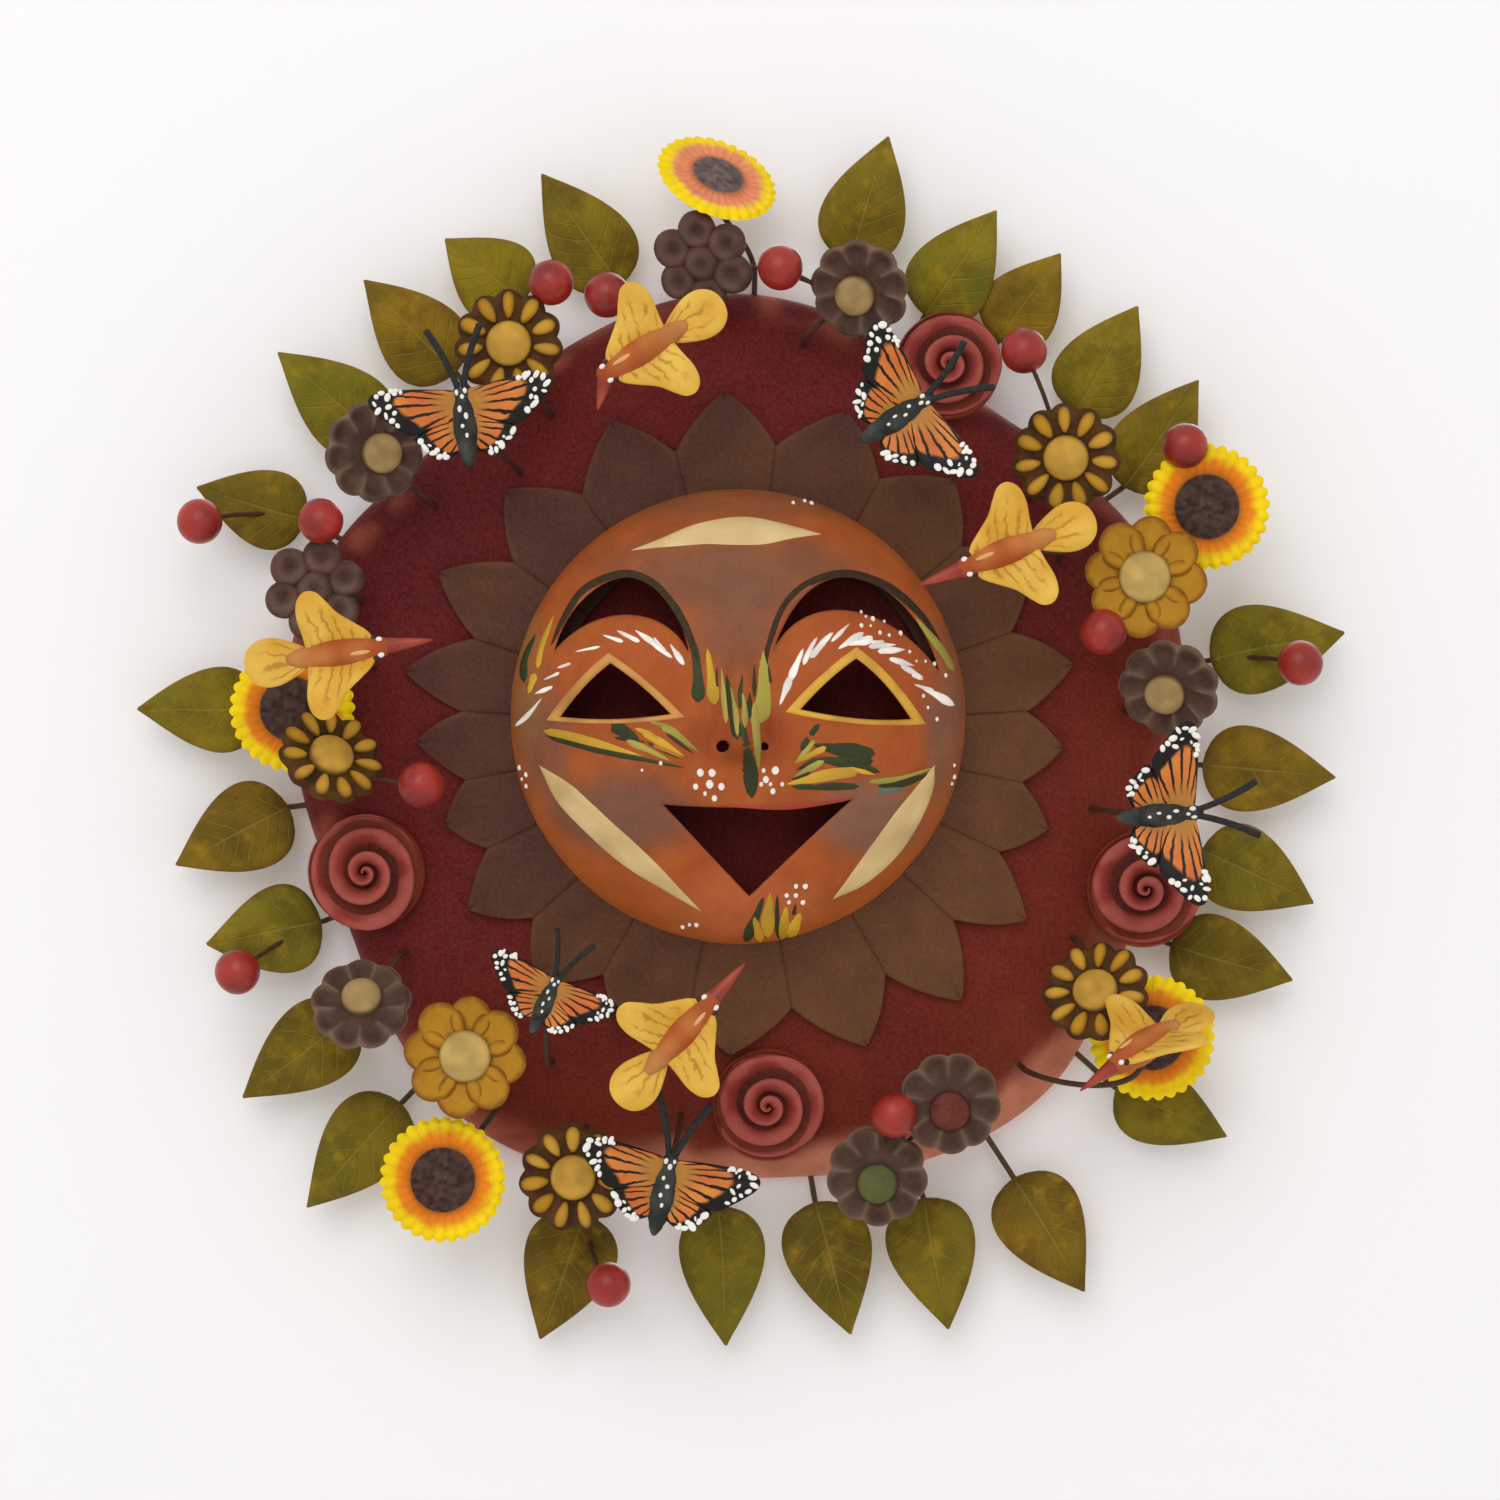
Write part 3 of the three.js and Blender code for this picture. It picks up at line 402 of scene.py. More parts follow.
def clay_finish(name, rough=(0.55, 0.75), amount=0.3, coat=0.0, grain=0.35, specular=0.13):
    nodes = material(name)
    bumps = (nodes.noise(5.5), 0.35, 0.0012), (nodes.noise(0.8, 3.0, 0.7), grain, 0.0003)
    return nodes.surface(brushed(nodes, amount), bumps, (*rough, 4), specular, coat)


def leaf_finish():
    """Green brushed over brown, with a midrib and side veins cut into the clay."""
    nodes = material("leaf_paint")
    u, v, seed = nodes.shape()
    side = nodes.math("ABSOLUTE", u)
    wander = nodes.times(nodes.minus(nodes.noise(7, 2.0), 0.5), 0.07)
    climb = nodes.plus(nodes.times_plus(side, -0.24, v), wander)
    step = nodes.math("FRACT", nodes.plus(nodes.times(climb, 8.0), seed))
    from_vein = nodes.math("ABSOLUTE", nodes.minus(step, 0.5))
    reach = nodes.times(nodes.band(side, 0.92, 0.7), nodes.band(v, 0.95, 0.85))
    veins = nodes.times(nodes.band(from_vein, 0.085, 0.02), reach)
    groove = nodes.larger(veins, nodes.band(side, 0.055, 0.015))
    rust = nodes.times(nodes.band(nodes.noise(12, 4.0, 0.6), 0.42, 0.72), 0.6)
    gold = nodes.times(nodes.band(nodes.noise(8, 4.0, 0.6), 0.52, 0.75), 0.6)
    colour = brushed(nodes, 0.34)
    for share, code in ((rust, "#4e3a0a"), (gold, "#a08018"), (nodes.times(groove, 0.3), "#9a8a40")):
        colour = nodes.mix(share, colour, code)
    height = nodes.minus(nodes.times(nodes.noise(3.5), 0.35), groove)
    bumps = (height, 0.55, 0.0007), (nodes.noise(0.7, 3.0, 0.7), 0.3, 0.00025)
    return nodes.surface(colour, bumps, (0.48, 0.68, 5), 0.12)


def feather_finish():
    """Yellow feathers with fine brown brush lines that run out along them."""
    nodes = material("feather_paint")
    u, v, seed = nodes.shape()
    wander = nodes.times(nodes.noise(3, 2.0), 0.16)
    line = nodes.band(nodes.stripes(u, wander, seed), 0.2, 0.04)
    reach = nodes.times(nodes.band(v, 0.05, 0.25), nodes.band(v, 0.88, 0.6))
    broken = nodes.times(nodes.band(nodes.noise(5, 2.0), 0.3, 0.55), 0.6)
    colour = nodes.mix(nodes.times(nodes.times(line, reach), broken), brushed(nodes, 0.2), "#94620e")
    height = nodes.minus(nodes.noise(4), nodes.times(line, 0.3))
    bumps = (height, 0.35, 0.0007), (nodes.noise(0.8, 3.0, 0.7), 0.3, 0.0003)
    return nodes.surface(colour, bumps, (0.42, 0.62, 4), 0.15)


def wing_finish():
    """Orange wings with black veins and a black border."""
    nodes = material("wing_paint")
    u, v, seed = nodes.shape()
    wander = nodes.times(nodes.minus(nodes.noise(2.5, 2.0), 0.5), 0.055)
    vein = nodes.band(nodes.stripes(v, wander, seed), 0.19, 0.09)
    vein = nodes.times(vein, nodes.band(nodes.plus(u, wander), 0.1, 0.34))
    border = nodes.band(nodes.times_plus(wander, 1.6, u), 0.66, 0.74)
    dark = nodes.larger(nodes.larger(vein, border), nodes.band(v, 0.05, 0.02))
    colour = nodes.mix(dark, brushed(nodes, 0.2), "#14110c")
    bumps = [(nodes.times_plus(dark, 0.5, nodes.noise(1.4)), 0.35, 0.0004)]
    return nodes.surface(colour, bumps, (0.36, 0.55, 3), 0.2)


def steel_finish():
    nodes = material("hanging_steel")
    streak = nodes.band(nodes.noise(2.0, 4.0, 0.7), 0.35, 0.7)
    rust = nodes.times(nodes.band(nodes.noise(9, 4.0, 0.7), 0.6, 0.78), 0.6)
    colour = nodes.mix(rust, nodes.mix(streak, "#8d8a85", "#5c5753"), "#5b3a26")
    return nodes.surface(colour, [(nodes.noise(0.6), 0.3, 0.0001)], (0.28, 0.5, streak), 0.5, metallic=1.0)


FINISHES = {
    "clay": clay_finish("painted_clay"),
    "gloss": clay_finish("glazed_paint", (0.3, 0.45), 0.25, coat=0.12, grain=0.15, specular=0.3),
    "disc": clay_finish("disc_paint", (0.6, 0.8), 0.36, grain=0.5, specular=0.1),
    "face": clay_finish("face_paint", (0.5, 0.68), 0.3, grain=0.3, specular=0.14),
    "brush": clay_finish("brush_paint", (0.42, 0.55), 0.14, grain=0.2, specular=0.25),
    "wire": clay_finish("wire_paint", (0.4, 0.6), 0.4, grain=0.3, specular=0.2),
    "leaf": leaf_finish(),
    "feather": feather_finish(),
    "wing": wing_finish(),
    "steel": steel_finish(),
}


# Pieces

def piece(node, skins, weld=False, sharp=50):
    """One object in place of a CAD node, from skins in millimetres from the disc's centre."""
    used = sorted({s["finish"] for s in skins})
    mesh = bpy.data.meshes.new(node)
    points = (np.concatenate([s["points"] for s in skins]) + [0, 0, -HANG_DROP]) * 0.001
    corners, totals, finish = [], [], []
    start = 0
    for s in skins:
        for faces in s["faces"]:
            corners.append((faces + start).ravel())
            totals.append(np.full(len(faces), faces.shape[1]))
            finish.append(np.full(len(faces), used.index(s["finish"])))
        start += len(s["points"])
    corners, totals, finish = map(np.concatenate, (corners, totals, finish))
    mesh.vertices.add(len(points))
    mesh.loops.add(len(corners))
    mesh.polygons.add(len(totals))
    paint = np.concatenate([np.c_[s["paint"], np.ones(len(s["paint"]))] for s in skins])
    shape = np.concatenate([s["shape"] for s in skins])
    mesh.attributes.new("paint", "FLOAT_COLOR", "POINT")
    mesh.attributes.new("shape", "FLOAT_VECTOR", "POINT")
    for where, name, values, kind in (
            (mesh.vertices, "co", points, np.float32), (mesh.loops, "vertex_index", corners, np.int32),
            (mesh.polygons, "loop_start", np.cumsum(totals) - totals, np.int32),
            (mesh.polygons, "loop_total", totals, np.int32),
            (mesh.polygons, "material_index", finish, np.int32),
            (mesh.polygons, "use_smooth", np.ones(len(totals)), bool),
            (mesh.attributes["paint"].data, "color", paint, np.float32),
            (mesh.attributes["shape"].data, "vector", shape, np.float32)):
        where.foreach_set(name, values.astype(kind).ravel())
    mesh.update(calc_edges=True)
    mesh.validate()
    if weld:
        work = bmesh.new()
        work.from_mesh(mesh)
        bmesh.ops.remove_doubles(work, verts=work.verts, dist=2e-6)
        work.to_mesh(mesh)
        work.free()
    mesh.set_sharp_from_angle(angle=float(np.radians(sharp)))
    for name in used:
        mesh.materials.append(FINISHES[name])
    made = bpy.data.objects.new(node + "_look", mesh)
    bpy.context.scene.collection.objects.link(made)
    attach(made, "root")
    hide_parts(node)


# Disc and rays. Each hand-cut ray has its own clock angle and share of the common length.

RAYS = [
    (-4, 1.03), (17, 0.95), (40, 0.8), (60.5, 0.9), (80, 1), (93.5, 0.7), (108.5, 0.72),
    (123.5, 1.12), (141.4, 1.25), (159, 1.1), (181.5, 0.85), (200.5, 0.85), (219, 0.85),
    (237, 0.9), (252.5, 0.6), (266.5, 0.85), (280, 1.18), (296.7, 1.14), (314.6, 1.03), (336, 0.97),
]


def disc():
    """The domed slab: front, rounded rim, ring on the wall, and hollow back."""
    columns = 320
    degrees = np.linspace(0, -360, columns, endpoint=False)
    rim = rim_radius(degrees)
    radii = [(rim - RIM_ROUNDING) * share for share in np.linspace(0.02, 1, 47)]
    radii += [rim - RIM_ROUNDING + RIM_ROUNDING * share for share in np.sin(np.linspace(0, np.pi / 2, 9))[1:]]
    rings = [around(degrees, radius, dome_depth(radius, rim)) for radius in radii]
    for inset, depth in ((0, 2), (0.6, 0.9), (1.6, 0), (RIM_LAND / 2, 0), (RIM_LAND, 0),
                         (RIM_LAND + 1.2, 0.7)):
        rings.append(around(degrees, rim - inset, depth))
    for share in np.linspace(1, 0.04, 26):
        radius = (rim - RIM_LAND - RIM_ROUNDING) * share
        rings.append(around(degrees, radius, dome_depth(radius, rim) - DISC_WALL))
    middle = float(dome_depth(0.0, RIM_RADIUS))
    points, faces = loft(rings, [0, -middle, 0], [0, DISC_WALL - middle, 0])
    x, y, z = points.T
    radius = np.hypot(x, z)
    clock = np.degrees(np.arctan2(x, z))
    here = rim_radius(clock)
    # Hand pressing: lumps that die out at the wall, and shallow dents round the edge
    soft = lumps(points, 26, 1) * 0.9 + lumps(points, 9, 2) * 0.35
    on_front = (np.arange(len(points)) < len(radii) * columns) | (np.arange(len(points)) == len(points) - 2)
    y += soft * np.where(on_front, 0.9 * ramp(0, 6, -y), 0.6 * ramp(2.5, 8, -y)) + 0.45 * on_front
    squeeze = 1 - ramp(here - 14, here, radius) * (0.002 + 0.004 * (1 + lumps(points * [1, 0, 1], 17, 3)))
    points[:, [0, 2]] *= squeeze[:, None]
    # Painted light: the paint is warmer and lighter toward the lower right, where the light falls. Near the
    # rim it is paler, partly from rubbed wear at random places and partly from that painted light.
    lower_right_light = ramp(-20, 100, x * 0.55 - z * 0.83) * ramp(60, 125, radius)
    wear_and_light = np.clip(ramp(0.15, 0.75, lumps(points, 11, 6)) + 0.8 * lower_right_light, 0, 1)
    wear_and_light = wear_and_light * ramp(here - 13, here - 5, radius)
    # A pink glow painted on the lower edge: a painted highlight where the light from below catches the rim
    low = ramp(55, 15, np.abs((clock + 20) % 360 - 180))
    low = low * ramp(here - 15, here - 8, radius + 5 * lumps(points, 12, 8))
    paint = coated(blend("#591218", "#6a1a1a", 0.5 + 0.5 * lumps(points, 38, 4)),
                   ("#7c3019", 0.8 * lower_right_light * (0.7 + 0.3 * lumps(points, 22, 5))), ("#b45f4a", 0.5 * wear_and_light),
                   ("#cd8468", 0.85 * low * (0.8 + 0.2 * lumps(points, 5, 11))))
    bare = tone("#9a5637") * (1 + 0.12 * lumps(points, 12, 7))[:, None]
    return skin(points, faces, np.where((on_front | (radius > here - 2.5))[:, None], paint, bare), "disc")


def ray(number):
    """A pointed clay petal that lies over the dome, a little over its neighbour."""
    clock, share = RAYS[number]
    before = (clock - RAYS[number - 1][0]) % 360
    after = (RAYS[(number + 1) % len(RAYS)][0] - clock) % 360
    rise = np.concatenate([np.zeros(7), np.linspace(0, 1, 12)[1:-1], [0.965, 0.995]])
    radius = np.concatenate([np.linspace(RAY_ROOT, RAY_VALLEY, 7),
                             RAY_VALLEY + RAY_LENGTH * share * rise[7:] ** 0.9])
    across, on_top = profile(17)
    rng = np.random.default_rng(40 + number)
    lean, bend, lift = rng.uniform(-0.7, 0.7), rng.uniform(-0.8, 0.8), 0.5 * (number % 2)
    rings, where = [], []
    for up, out in zip(rise, radius):
        along = (out - RAY_ROOT) / (radius[-1] - RAY_ROOT)
        half = np.where(across < 0, before, after) / 2 * (1 - up) ** 0.9 * (1.02 if up == 0 else 1.0)
        degrees = clock + across * half + (lean * along + bend * along ** 3) * min(1, 2 * up)
        x, _, z = (around(degrees, out, 0) + [RAYS_ACROSS, 0, RAYS_RAISE]).T
        round_over = np.sqrt(np.maximum(0, 1 - np.abs(across) ** 5))
        crease = 0.4 * np.exp(-(across / 0.12) ** 2) * ramp(0.35, 0.6, along)
        top = 1.5 + lift + (0.8 + 0.7 * across ** 2) * round_over - crease
        rings.append(stacked(x, -(front_depth(x, z) + np.where(on_top, top, -0.6)), z))
        where.append(stacked(across, along))
    points, faces = loft(rings, rings[0].mean(axis=0), rings[-1].mean(axis=0))
    across, along = np.concatenate(where + [[[0, 0]], [[0, 1]]]).T
    points[:, 1] -= 0.28 * lumps(points, 6, 9) * ramp(0.05, 0.3, along)
    # Painted light: each ray is lighter toward the lower right of the sun, where the light falls
    side = ramp(-100, 100, points[:, 0] * 0.8 - points[:, 2] * 0.6)
    paint = blend("#4c2b22", "#633f26", side + 0.35 * lumps(points, 9, 10) + rng.uniform(-0.12, 0.12))
    edge = ramp(0.75, 1.0, np.abs(across)) * ramp(0.5, 0.7, along)
    # Lighter paint at the outer edges, and painted shade darkening the root of each ray beside the face
    paint = coated(paint, ("#80583c", 0.3 * edge), ("#3c1d1b", 0.35 * ramp(0.5, 0.2, along)))
    return skin(points, faces, paint)


# Face, in hundredths of its radius from its centre

NOSE = {"across": 1.5, "bridge": 32, "tip": -15, "underside": 9, "half": 19}
BROWS = [
    ([-80, 29], [[-72, 61], [-32, 81], [-21, 27.5]], [[-30, 48], [-61, 51], [-80, 29]]),
    ([88, 20], [[78, 58], [35, 84], [16, 30]], [[29, 54], [64, 52], [88, 20]]),
]
EYES = [
    ([-77, 0], [[-67, 14], [-55, 23]], [[-41, 14], [-29, 1]], [[-52, -3], [-77, 0]]),
    ([27, 3], [[38, 16], [51, 25]], [[64, 16], [75, -1]], [[52, -3], [27, 3]]),
]
MOUTH = ([-32, -38], [[9, -41], [49, -36]], [[28, -55], [5, -78]], [[-13, -59], [-32, -38]])
NOSTRILS = [([-7, -13], 3), ([12, -13], 2)]

CREAM_LEAVES = [
    ([(-46, 72), (-34, 77), (-17, 84), (2, 87), (19, 84), (36, 79)],
     [(-46, 72), (-34, 73), (-17, 74), (9, 74), (24, 77), (36, 79)]),
    ([(-86, -21), (-71, -30), (-51, -48), (-36, -62), (-24, -75), (-16, -84)],
     [(-86, -21), (-79, -36), (-66, -50), (-50, -64), (-32, -75), (-16, -84)]),
    ([(85, -21), (77, -30), (68, -41), (59, -53), (50, -66), (41, -79)],
     [(85, -21), (85, -31), (79, -46), (69, -61), (55, -73), (41, -79)]),
]
# Dark lines along the upper edges of the brow holes: painted shade of the holes' edges
BROW_SHADE_LINES = [
    [(-81, 31), (-75, 44), (-66, 56), (-50, 62), (-37, 58), (-27, 47), (-20, 33), (-17, 19), (-18, 6)],
    [(12, 7), (12, 24), (14, 33), (20, 48), (31, 58), (47, 62), (64, 57), (78, 46), (87, 33), (92, 21)],
]
# Brush strokes by their colour and how high the paint stands. Each is a width and the points of a line
# (across, up, across, up …), thick end first. Green, teal, orange, yellow, pale and white.
STROKES = {
    ("#2b3310", 0.24): [
        (3.4, -93, 15, -93, 25, -88, 36), (5.6, -54, -3, -48, -7, -41, -13),
        (3.2, -83, -8, -61, -14, -23, -22), (1.5, -39, -11, -25, -18), (1.3, -31, -7, -19, -16),
        (1.4, -53, -9, -39, -11), (5, -17, 6, -17, 16, -19, 34), (1.3, -9, 12, -9, 21),
        (4.2, 0, -10, -2, 2, -5, 18), (1.8, 1, 3, 1, 10, 2, 18), (2.6, 5, -1, 5, 5, 5, 10),
        (5.2, 6, -35, 5, -21, 2, -2), (1.6, 7, 8, 7, 16, 7, 22), (1.4, 14, 14, 13, 22), (3, 31, -8, 35, -3),
        (2.8, 30, -9, 27, -15), (6.4, 59, -16, 48, -15, 32, -12), (6, 58, -19, 48, -20, 34, -18),
        (3.4, 50, -20, 61, -24), (1.8, 34, -18, 25, -23), (2, 31, -24, 23, -27), (2.6, 33, -30, 23, -30),
        (3.2, 52, -30, 39, -30, 25, -31), (3.4, 60, -30, 73, -28, 85, -24), (4.4, 3, -98, 7, -89, 11, -78),
        (2.4, 18, -97, 17, -87, 17, -77), (1.8, 24, -86, 25, -81),
    ],
    ("#5d6353", 0.2): [(3.6, 60, -32, 71, -31)],
    ("#b06a26", 0.34): [(1.6, -37, -12, -23, -18)],
    ("#c79a26", 0.38): [
        (3, -88, 19, -91, 10), (2.4, -87, 21, -85, 31, -80, 44), (4, -84, -6, -67, -10, -41, -17),
        (3.2, -41, -7, -33, -11, -23, -17), (2, -44, -5, -37, -8, -29, -13),
        (4.4, -10, 5, -11, 14, -13, 29), (2.6, 11, 2, 12, 8, 12, 16), (2.6, 38, -13, 32, -16, 24, -20),
        (5, 52, -23, 39, -25, 21, -29), (2, 48, -22, 59, -25), (5.2, 13, -96, 13, -87, 14, -76),
        (4.4, 19, -97, 20, -89, 21, -82), (4.8, 22, -96, 25, -90, 27, -85), (3.6, 10, -98, 8, -91, 7, -86),
    ],
    ("#a39640", 0.4): [
        (2.8, -48, -10, -39, -14, -29, -19), (2.8, -33, -4, -26, -8, -17, -15),
        (2, -38, -2, -29, -5, -23, -9), (2.2, -5, -3, -6, 8, -7, 21), (2.2, 0, -9, -1, 2, -3, 13),
        (2.4, 3, -5, 3, 3, 2, 10), (6.6, 9, -3, 11, 9, 11, 28), (3.6, 7, 6, 8, -7, 9, -23),
        (3.4, 94, 20, 88, 30, 77, 43), (2.2, 33, -10, 29, -15, 25, -19), (2.8, 37, -19, 31, -22, 24, -26),
        (2.2, 56, -28, 68, -27, 85, -22),
    ],
    ("#f4ede4", 0.42): [
        (1.5, -49, 32, -58, 35), (1.9, -42, 32, -52, 37), (2.6, -31, 28, -44, 37), (2, -28, 25, -40, 34),
        (2.4, -23, 22, -29, 31), (1.6, -30, 26, -36, 34), (1.1, -59, 30, -70, 28), (1.3, -77, 19, -84, 16),
        (1.3, -72, 23, -78, 21), (1.8, -80, 13, -88, 10), (1.9, -97, -4, -91, 1, -85, 8),
        (2.8, 23, 18, 18, 5), (2.8, 22, 15, 28, 29), (2, 28, 22, 31, 29, 34, 34), (2.6, 31, 25, 40, 36),
        (1.6, 35, 30, 41, 36), (1.6, 40, 32, 48, 40), (2.8, 54, 36, 43, 29), (3.2, 58, 33, 46, 31),
        (2.2, 58, 34, 49, 32), (2.2, 56, 30, 68, 31), (2.6, 60, 28, 72, 29), (2.4, 65, 25, 76, 22),
        (2.2, 70, 22, 80, 17), (3, 94, 5, 87, 9, 79, 13), (1.7, 85, 11, 76, 14), (1.6, 63, 32, 56, 32),
        (1.4, 75, 18, 80, 16),
    ],
}
# Across, up and radius
DOTS = [
    (-16, -24, 2), (-11, -24, 1.9), (-18, -30, 1.8), (-12, -29, 2), (-7, -30, 1.8), (-14, -33, 1.3),
    (-10, -35, 1.4), (11, -23, 1.3), (12, -27, 1.9), (16, -23, 1.9), (19, -29, 1.3), (15, -32, 1.5),
    (10, -29, 1.1), (14, -29, 1.2), (-33, -20, 1), (-41, -23, 0.8), (25, -73, 1.5), (29, -73, 1.4),
    (21, -77, 1.4), (25, -77, 1.4), (28, -80, 1.3), (22, -80, 1.4), (-95, -22, 1.3), (-92, -25, 1.2),
    (-94, -27, 1.1), (-92, -30, 1.1), (-24, -91, 1.3), (-21, -90, 1.2), (-18, -90, 1.2), (24, 93, 1.3),
    (29, 94, 1.2), (32, 93, 1.2), (94, -21, 1.1), (94, -26, 1.2), (93, -29, 0.9), (53, 45, 1),
    (58, 42, 1.2), (55, 43, 0.8), (63, 41, 0.9), (53, 39, 1.1), (61, 36, 1.3), (65, 35, 1), (70, 36, 1.2),
    (74, 28, 1.1), (85, 23, 1), (81, 24, 0.8), (77, 24, 0.8), (90, 18, 1), (82, 4, 1), (86, -1, 1.2),
    (80, 9, 0.9), (57, 39, 0.9),
]


def in_mm(places):
    """Millimetres from hundredths of the face's radius."""
    return np.asarray(places, float) * FACE_RADIUS / 100


def outline(start, *curves):
    """A closed line of quadratic and cubic Bezier curves, in millimetres, with a point about every
    0.6 mm."""
    points = []
    for controls in curves:
        steps = max(6, int(1.15 * in_mm(np.linalg.norm(np.subtract(controls[-1], start))) / 0.7))
        points.append(bezier(start, *controls, steps=steps)[:-1])
        start = controls[-1]
    return in_mm(np.concatenate(points))


def circle(centre, radius):
    """In millimetres, from hundredths of the face's radius."""
    turn = np.linspace(0, 2 * np.pi, 18, endpoint=False)
    return in_mm(centre + radius * stacked(np.cos(turn), np.sin(turn)))


BROW_HOLES = [outline(*brow) for brow in BROWS]
EYE_HOLES = [outline(*eye) for eye in EYES]
MOUTH_HOLE = outline(*MOUTH)
HOLES = [*BROW_HOLES, *EYE_HOLES, MOUTH_HOLE, *(circle(*nostril) for nostril in NOSTRILS)]


def face_relief(x, z):
    """The nose, eyelids and cheeks, over the plain dome of the face."""
    across, up = 100 * x / FACE_RADIUS, 100 * z / FACE_RADIUS

    def swelling(at_across, at_up, radius):
        share = np.minimum(1, np.hypot(np.abs(across) - at_across, up - at_up) / radius)
        return (1 - share ** 2) ** 2

    down = np.clip((NOSE["bridge"] - up) / (NOSE["bridge"] - NOSE["tip"]), 0, 1)
    half = NOSE["half"] * (0.4 + 0.6 * down)
    share = np.minimum(1, np.abs(across - NOSE["across"]) / half)
    nose = down ** 0.7 * (1 - share ** 2) ** 2
    nose = nose * ramp(NOSE["tip"] - NOSE["underside"], NOSE["tip"] + NOSE["underside"] / 2, up)
    return LID_HEIGHT * swelling(51, 20, 33) + CHEEK_HEIGHT * swelling(55, -32, 35) + NOSE_HEIGHT * nose


EDGE_DEPTH = float(front_depth(FACE_RADIUS, FACE_RAISE))


def face_depth(x, z, narrow=1, steep=1):
    """How far the face is off the wall."""
    share = np.minimum(1, np.hypot(x, z) / (FACE_RADIUS * narrow))
    return EDGE_DEPTH + FACE_RISE * (1 - share ** 2.3) ** 0.6 + steep * face_relief(x / narrow, z / narrow)


def inner_depth(x, z):
    return face_depth(x, z, 1 - FACE_WALL / FACE_RADIUS, 0.75) - FACE_WALL


def on_face(flat, lift=0.0):
    """Points on the face from places in millimetres from its centre, raised along its normal."""
    x, z = np.moveaxis(np.asarray(flat, float), -1, 0)
    rise = normal_of(face_depth, x, z, 0.25) * np.asarray(lift)[..., None]
    return stacked(x, -face_depth(x, z), z + FACE_RAISE) + rise


def inside(points, polygon):
    """Which points lie inside, by the edges that a line to the right crosses."""
    x, y = points[:, 0:1], points[:, 1:2]
    x1, y1 = polygon[:, 0], polygon[:, 1]
    x2, y2 = np.roll(x1, -1), np.roll(y1, -1)
    level = (y1 > y) != (y2 > y)
    cross = x < (x2 - x1) * (y - y1) / np.where(y2 == y1, 1e-9, y2 - y1) + x1
    return (level & cross).sum(axis=1) % 2 == 1


def from_line(points, polygon):
    """How far each point is from a closed line."""
    start, end = polygon, np.roll(polygon, -1, axis=0)
    way = end - start
    share = ((points[:, None] - start) * way).sum(-1) / (way ** 2).sum(-1)
    near = start + np.clip(share, 0, 1)[..., None] * way
    return np.linalg.norm(points[:, None] - near, axis=-1).min(axis=1)


def outward(polygon, distance):
    """A closed line moved out on all sides."""
    along = np.roll(polygon, -1, axis=0) - np.roll(polygon, 1, axis=0)
    normal = stacked(along[:, 1], -along[:, 0])
    normal /= np.linalg.norm(normal, axis=1)[:, None]
    area = (polygon[:, 0] * np.roll(polygon[:, 1], -1) - np.roll(polygon[:, 0], -1) * polygon[:, 1]).sum()
    return polygon + (normal if area > 0 else -normal) * distance


def pierced(limit, spacing, rows):
    """Points and triangles that fill a circle but for the holes. `rows` are the distances of
    extra rows of points round each hole."""
    rings = max(8, int(np.pi / 2 * limit / spacing))
    free = [np.zeros((1, 2))]
    for number in range(1, rings + 1):
        radius = limit * np.sin(np.pi / 2 * number / rings)
        count = max(8, int(2 * np.pi * radius / spacing))
        turn = 2 * np.pi * (np.arange(count) + 0.5 * (number % 2)) / count
        free.append(radius * stacked(np.cos(turn), np.sin(turn)))
    free = np.concatenate(free)
    clear = max(rows, default=0) + 0.55 * spacing
    for hole in HOLES:
        free = free[~inside(free, hole) & (from_line(free, hole) > clear)]
    points, edges = [free], []
    for hole in HOLES:
        total = sum(map(len, points))
        edges += [(total + i, total + (i + 1) % len(hole)) for i in range(len(hole))]
        points.append(hole)
        for distance in rows:
            ring = outward(hole, distance)
            points.append(ring[from_line(ring, hole) > 0.8 * distance])
    flat = np.concatenate(points)
    # Rows near the circle crowd together, so the triangles are made on the dome's own arc
    share = np.hypot(*flat.T) / limit
    arc = np.arcsin(np.clip(share, 0, 1)) / np.maximum(share, 1e-6)
    _, _, faces, origin, *_ = delaunay_2d_cdt((flat * arc[:, None]).tolist(), edges, [], 0, 1e-5)
    back = np.array([o[0] if o else -1 for o in origin])
    faces = back[[f for f in faces if len(f) == 3]]
    faces = faces[(faces >= 0).all(axis=1)]
    middle = flat[faces].mean(axis=1)
    return flat, faces[~np.any([inside(middle, hole) for hole in HOLES], axis=0)]


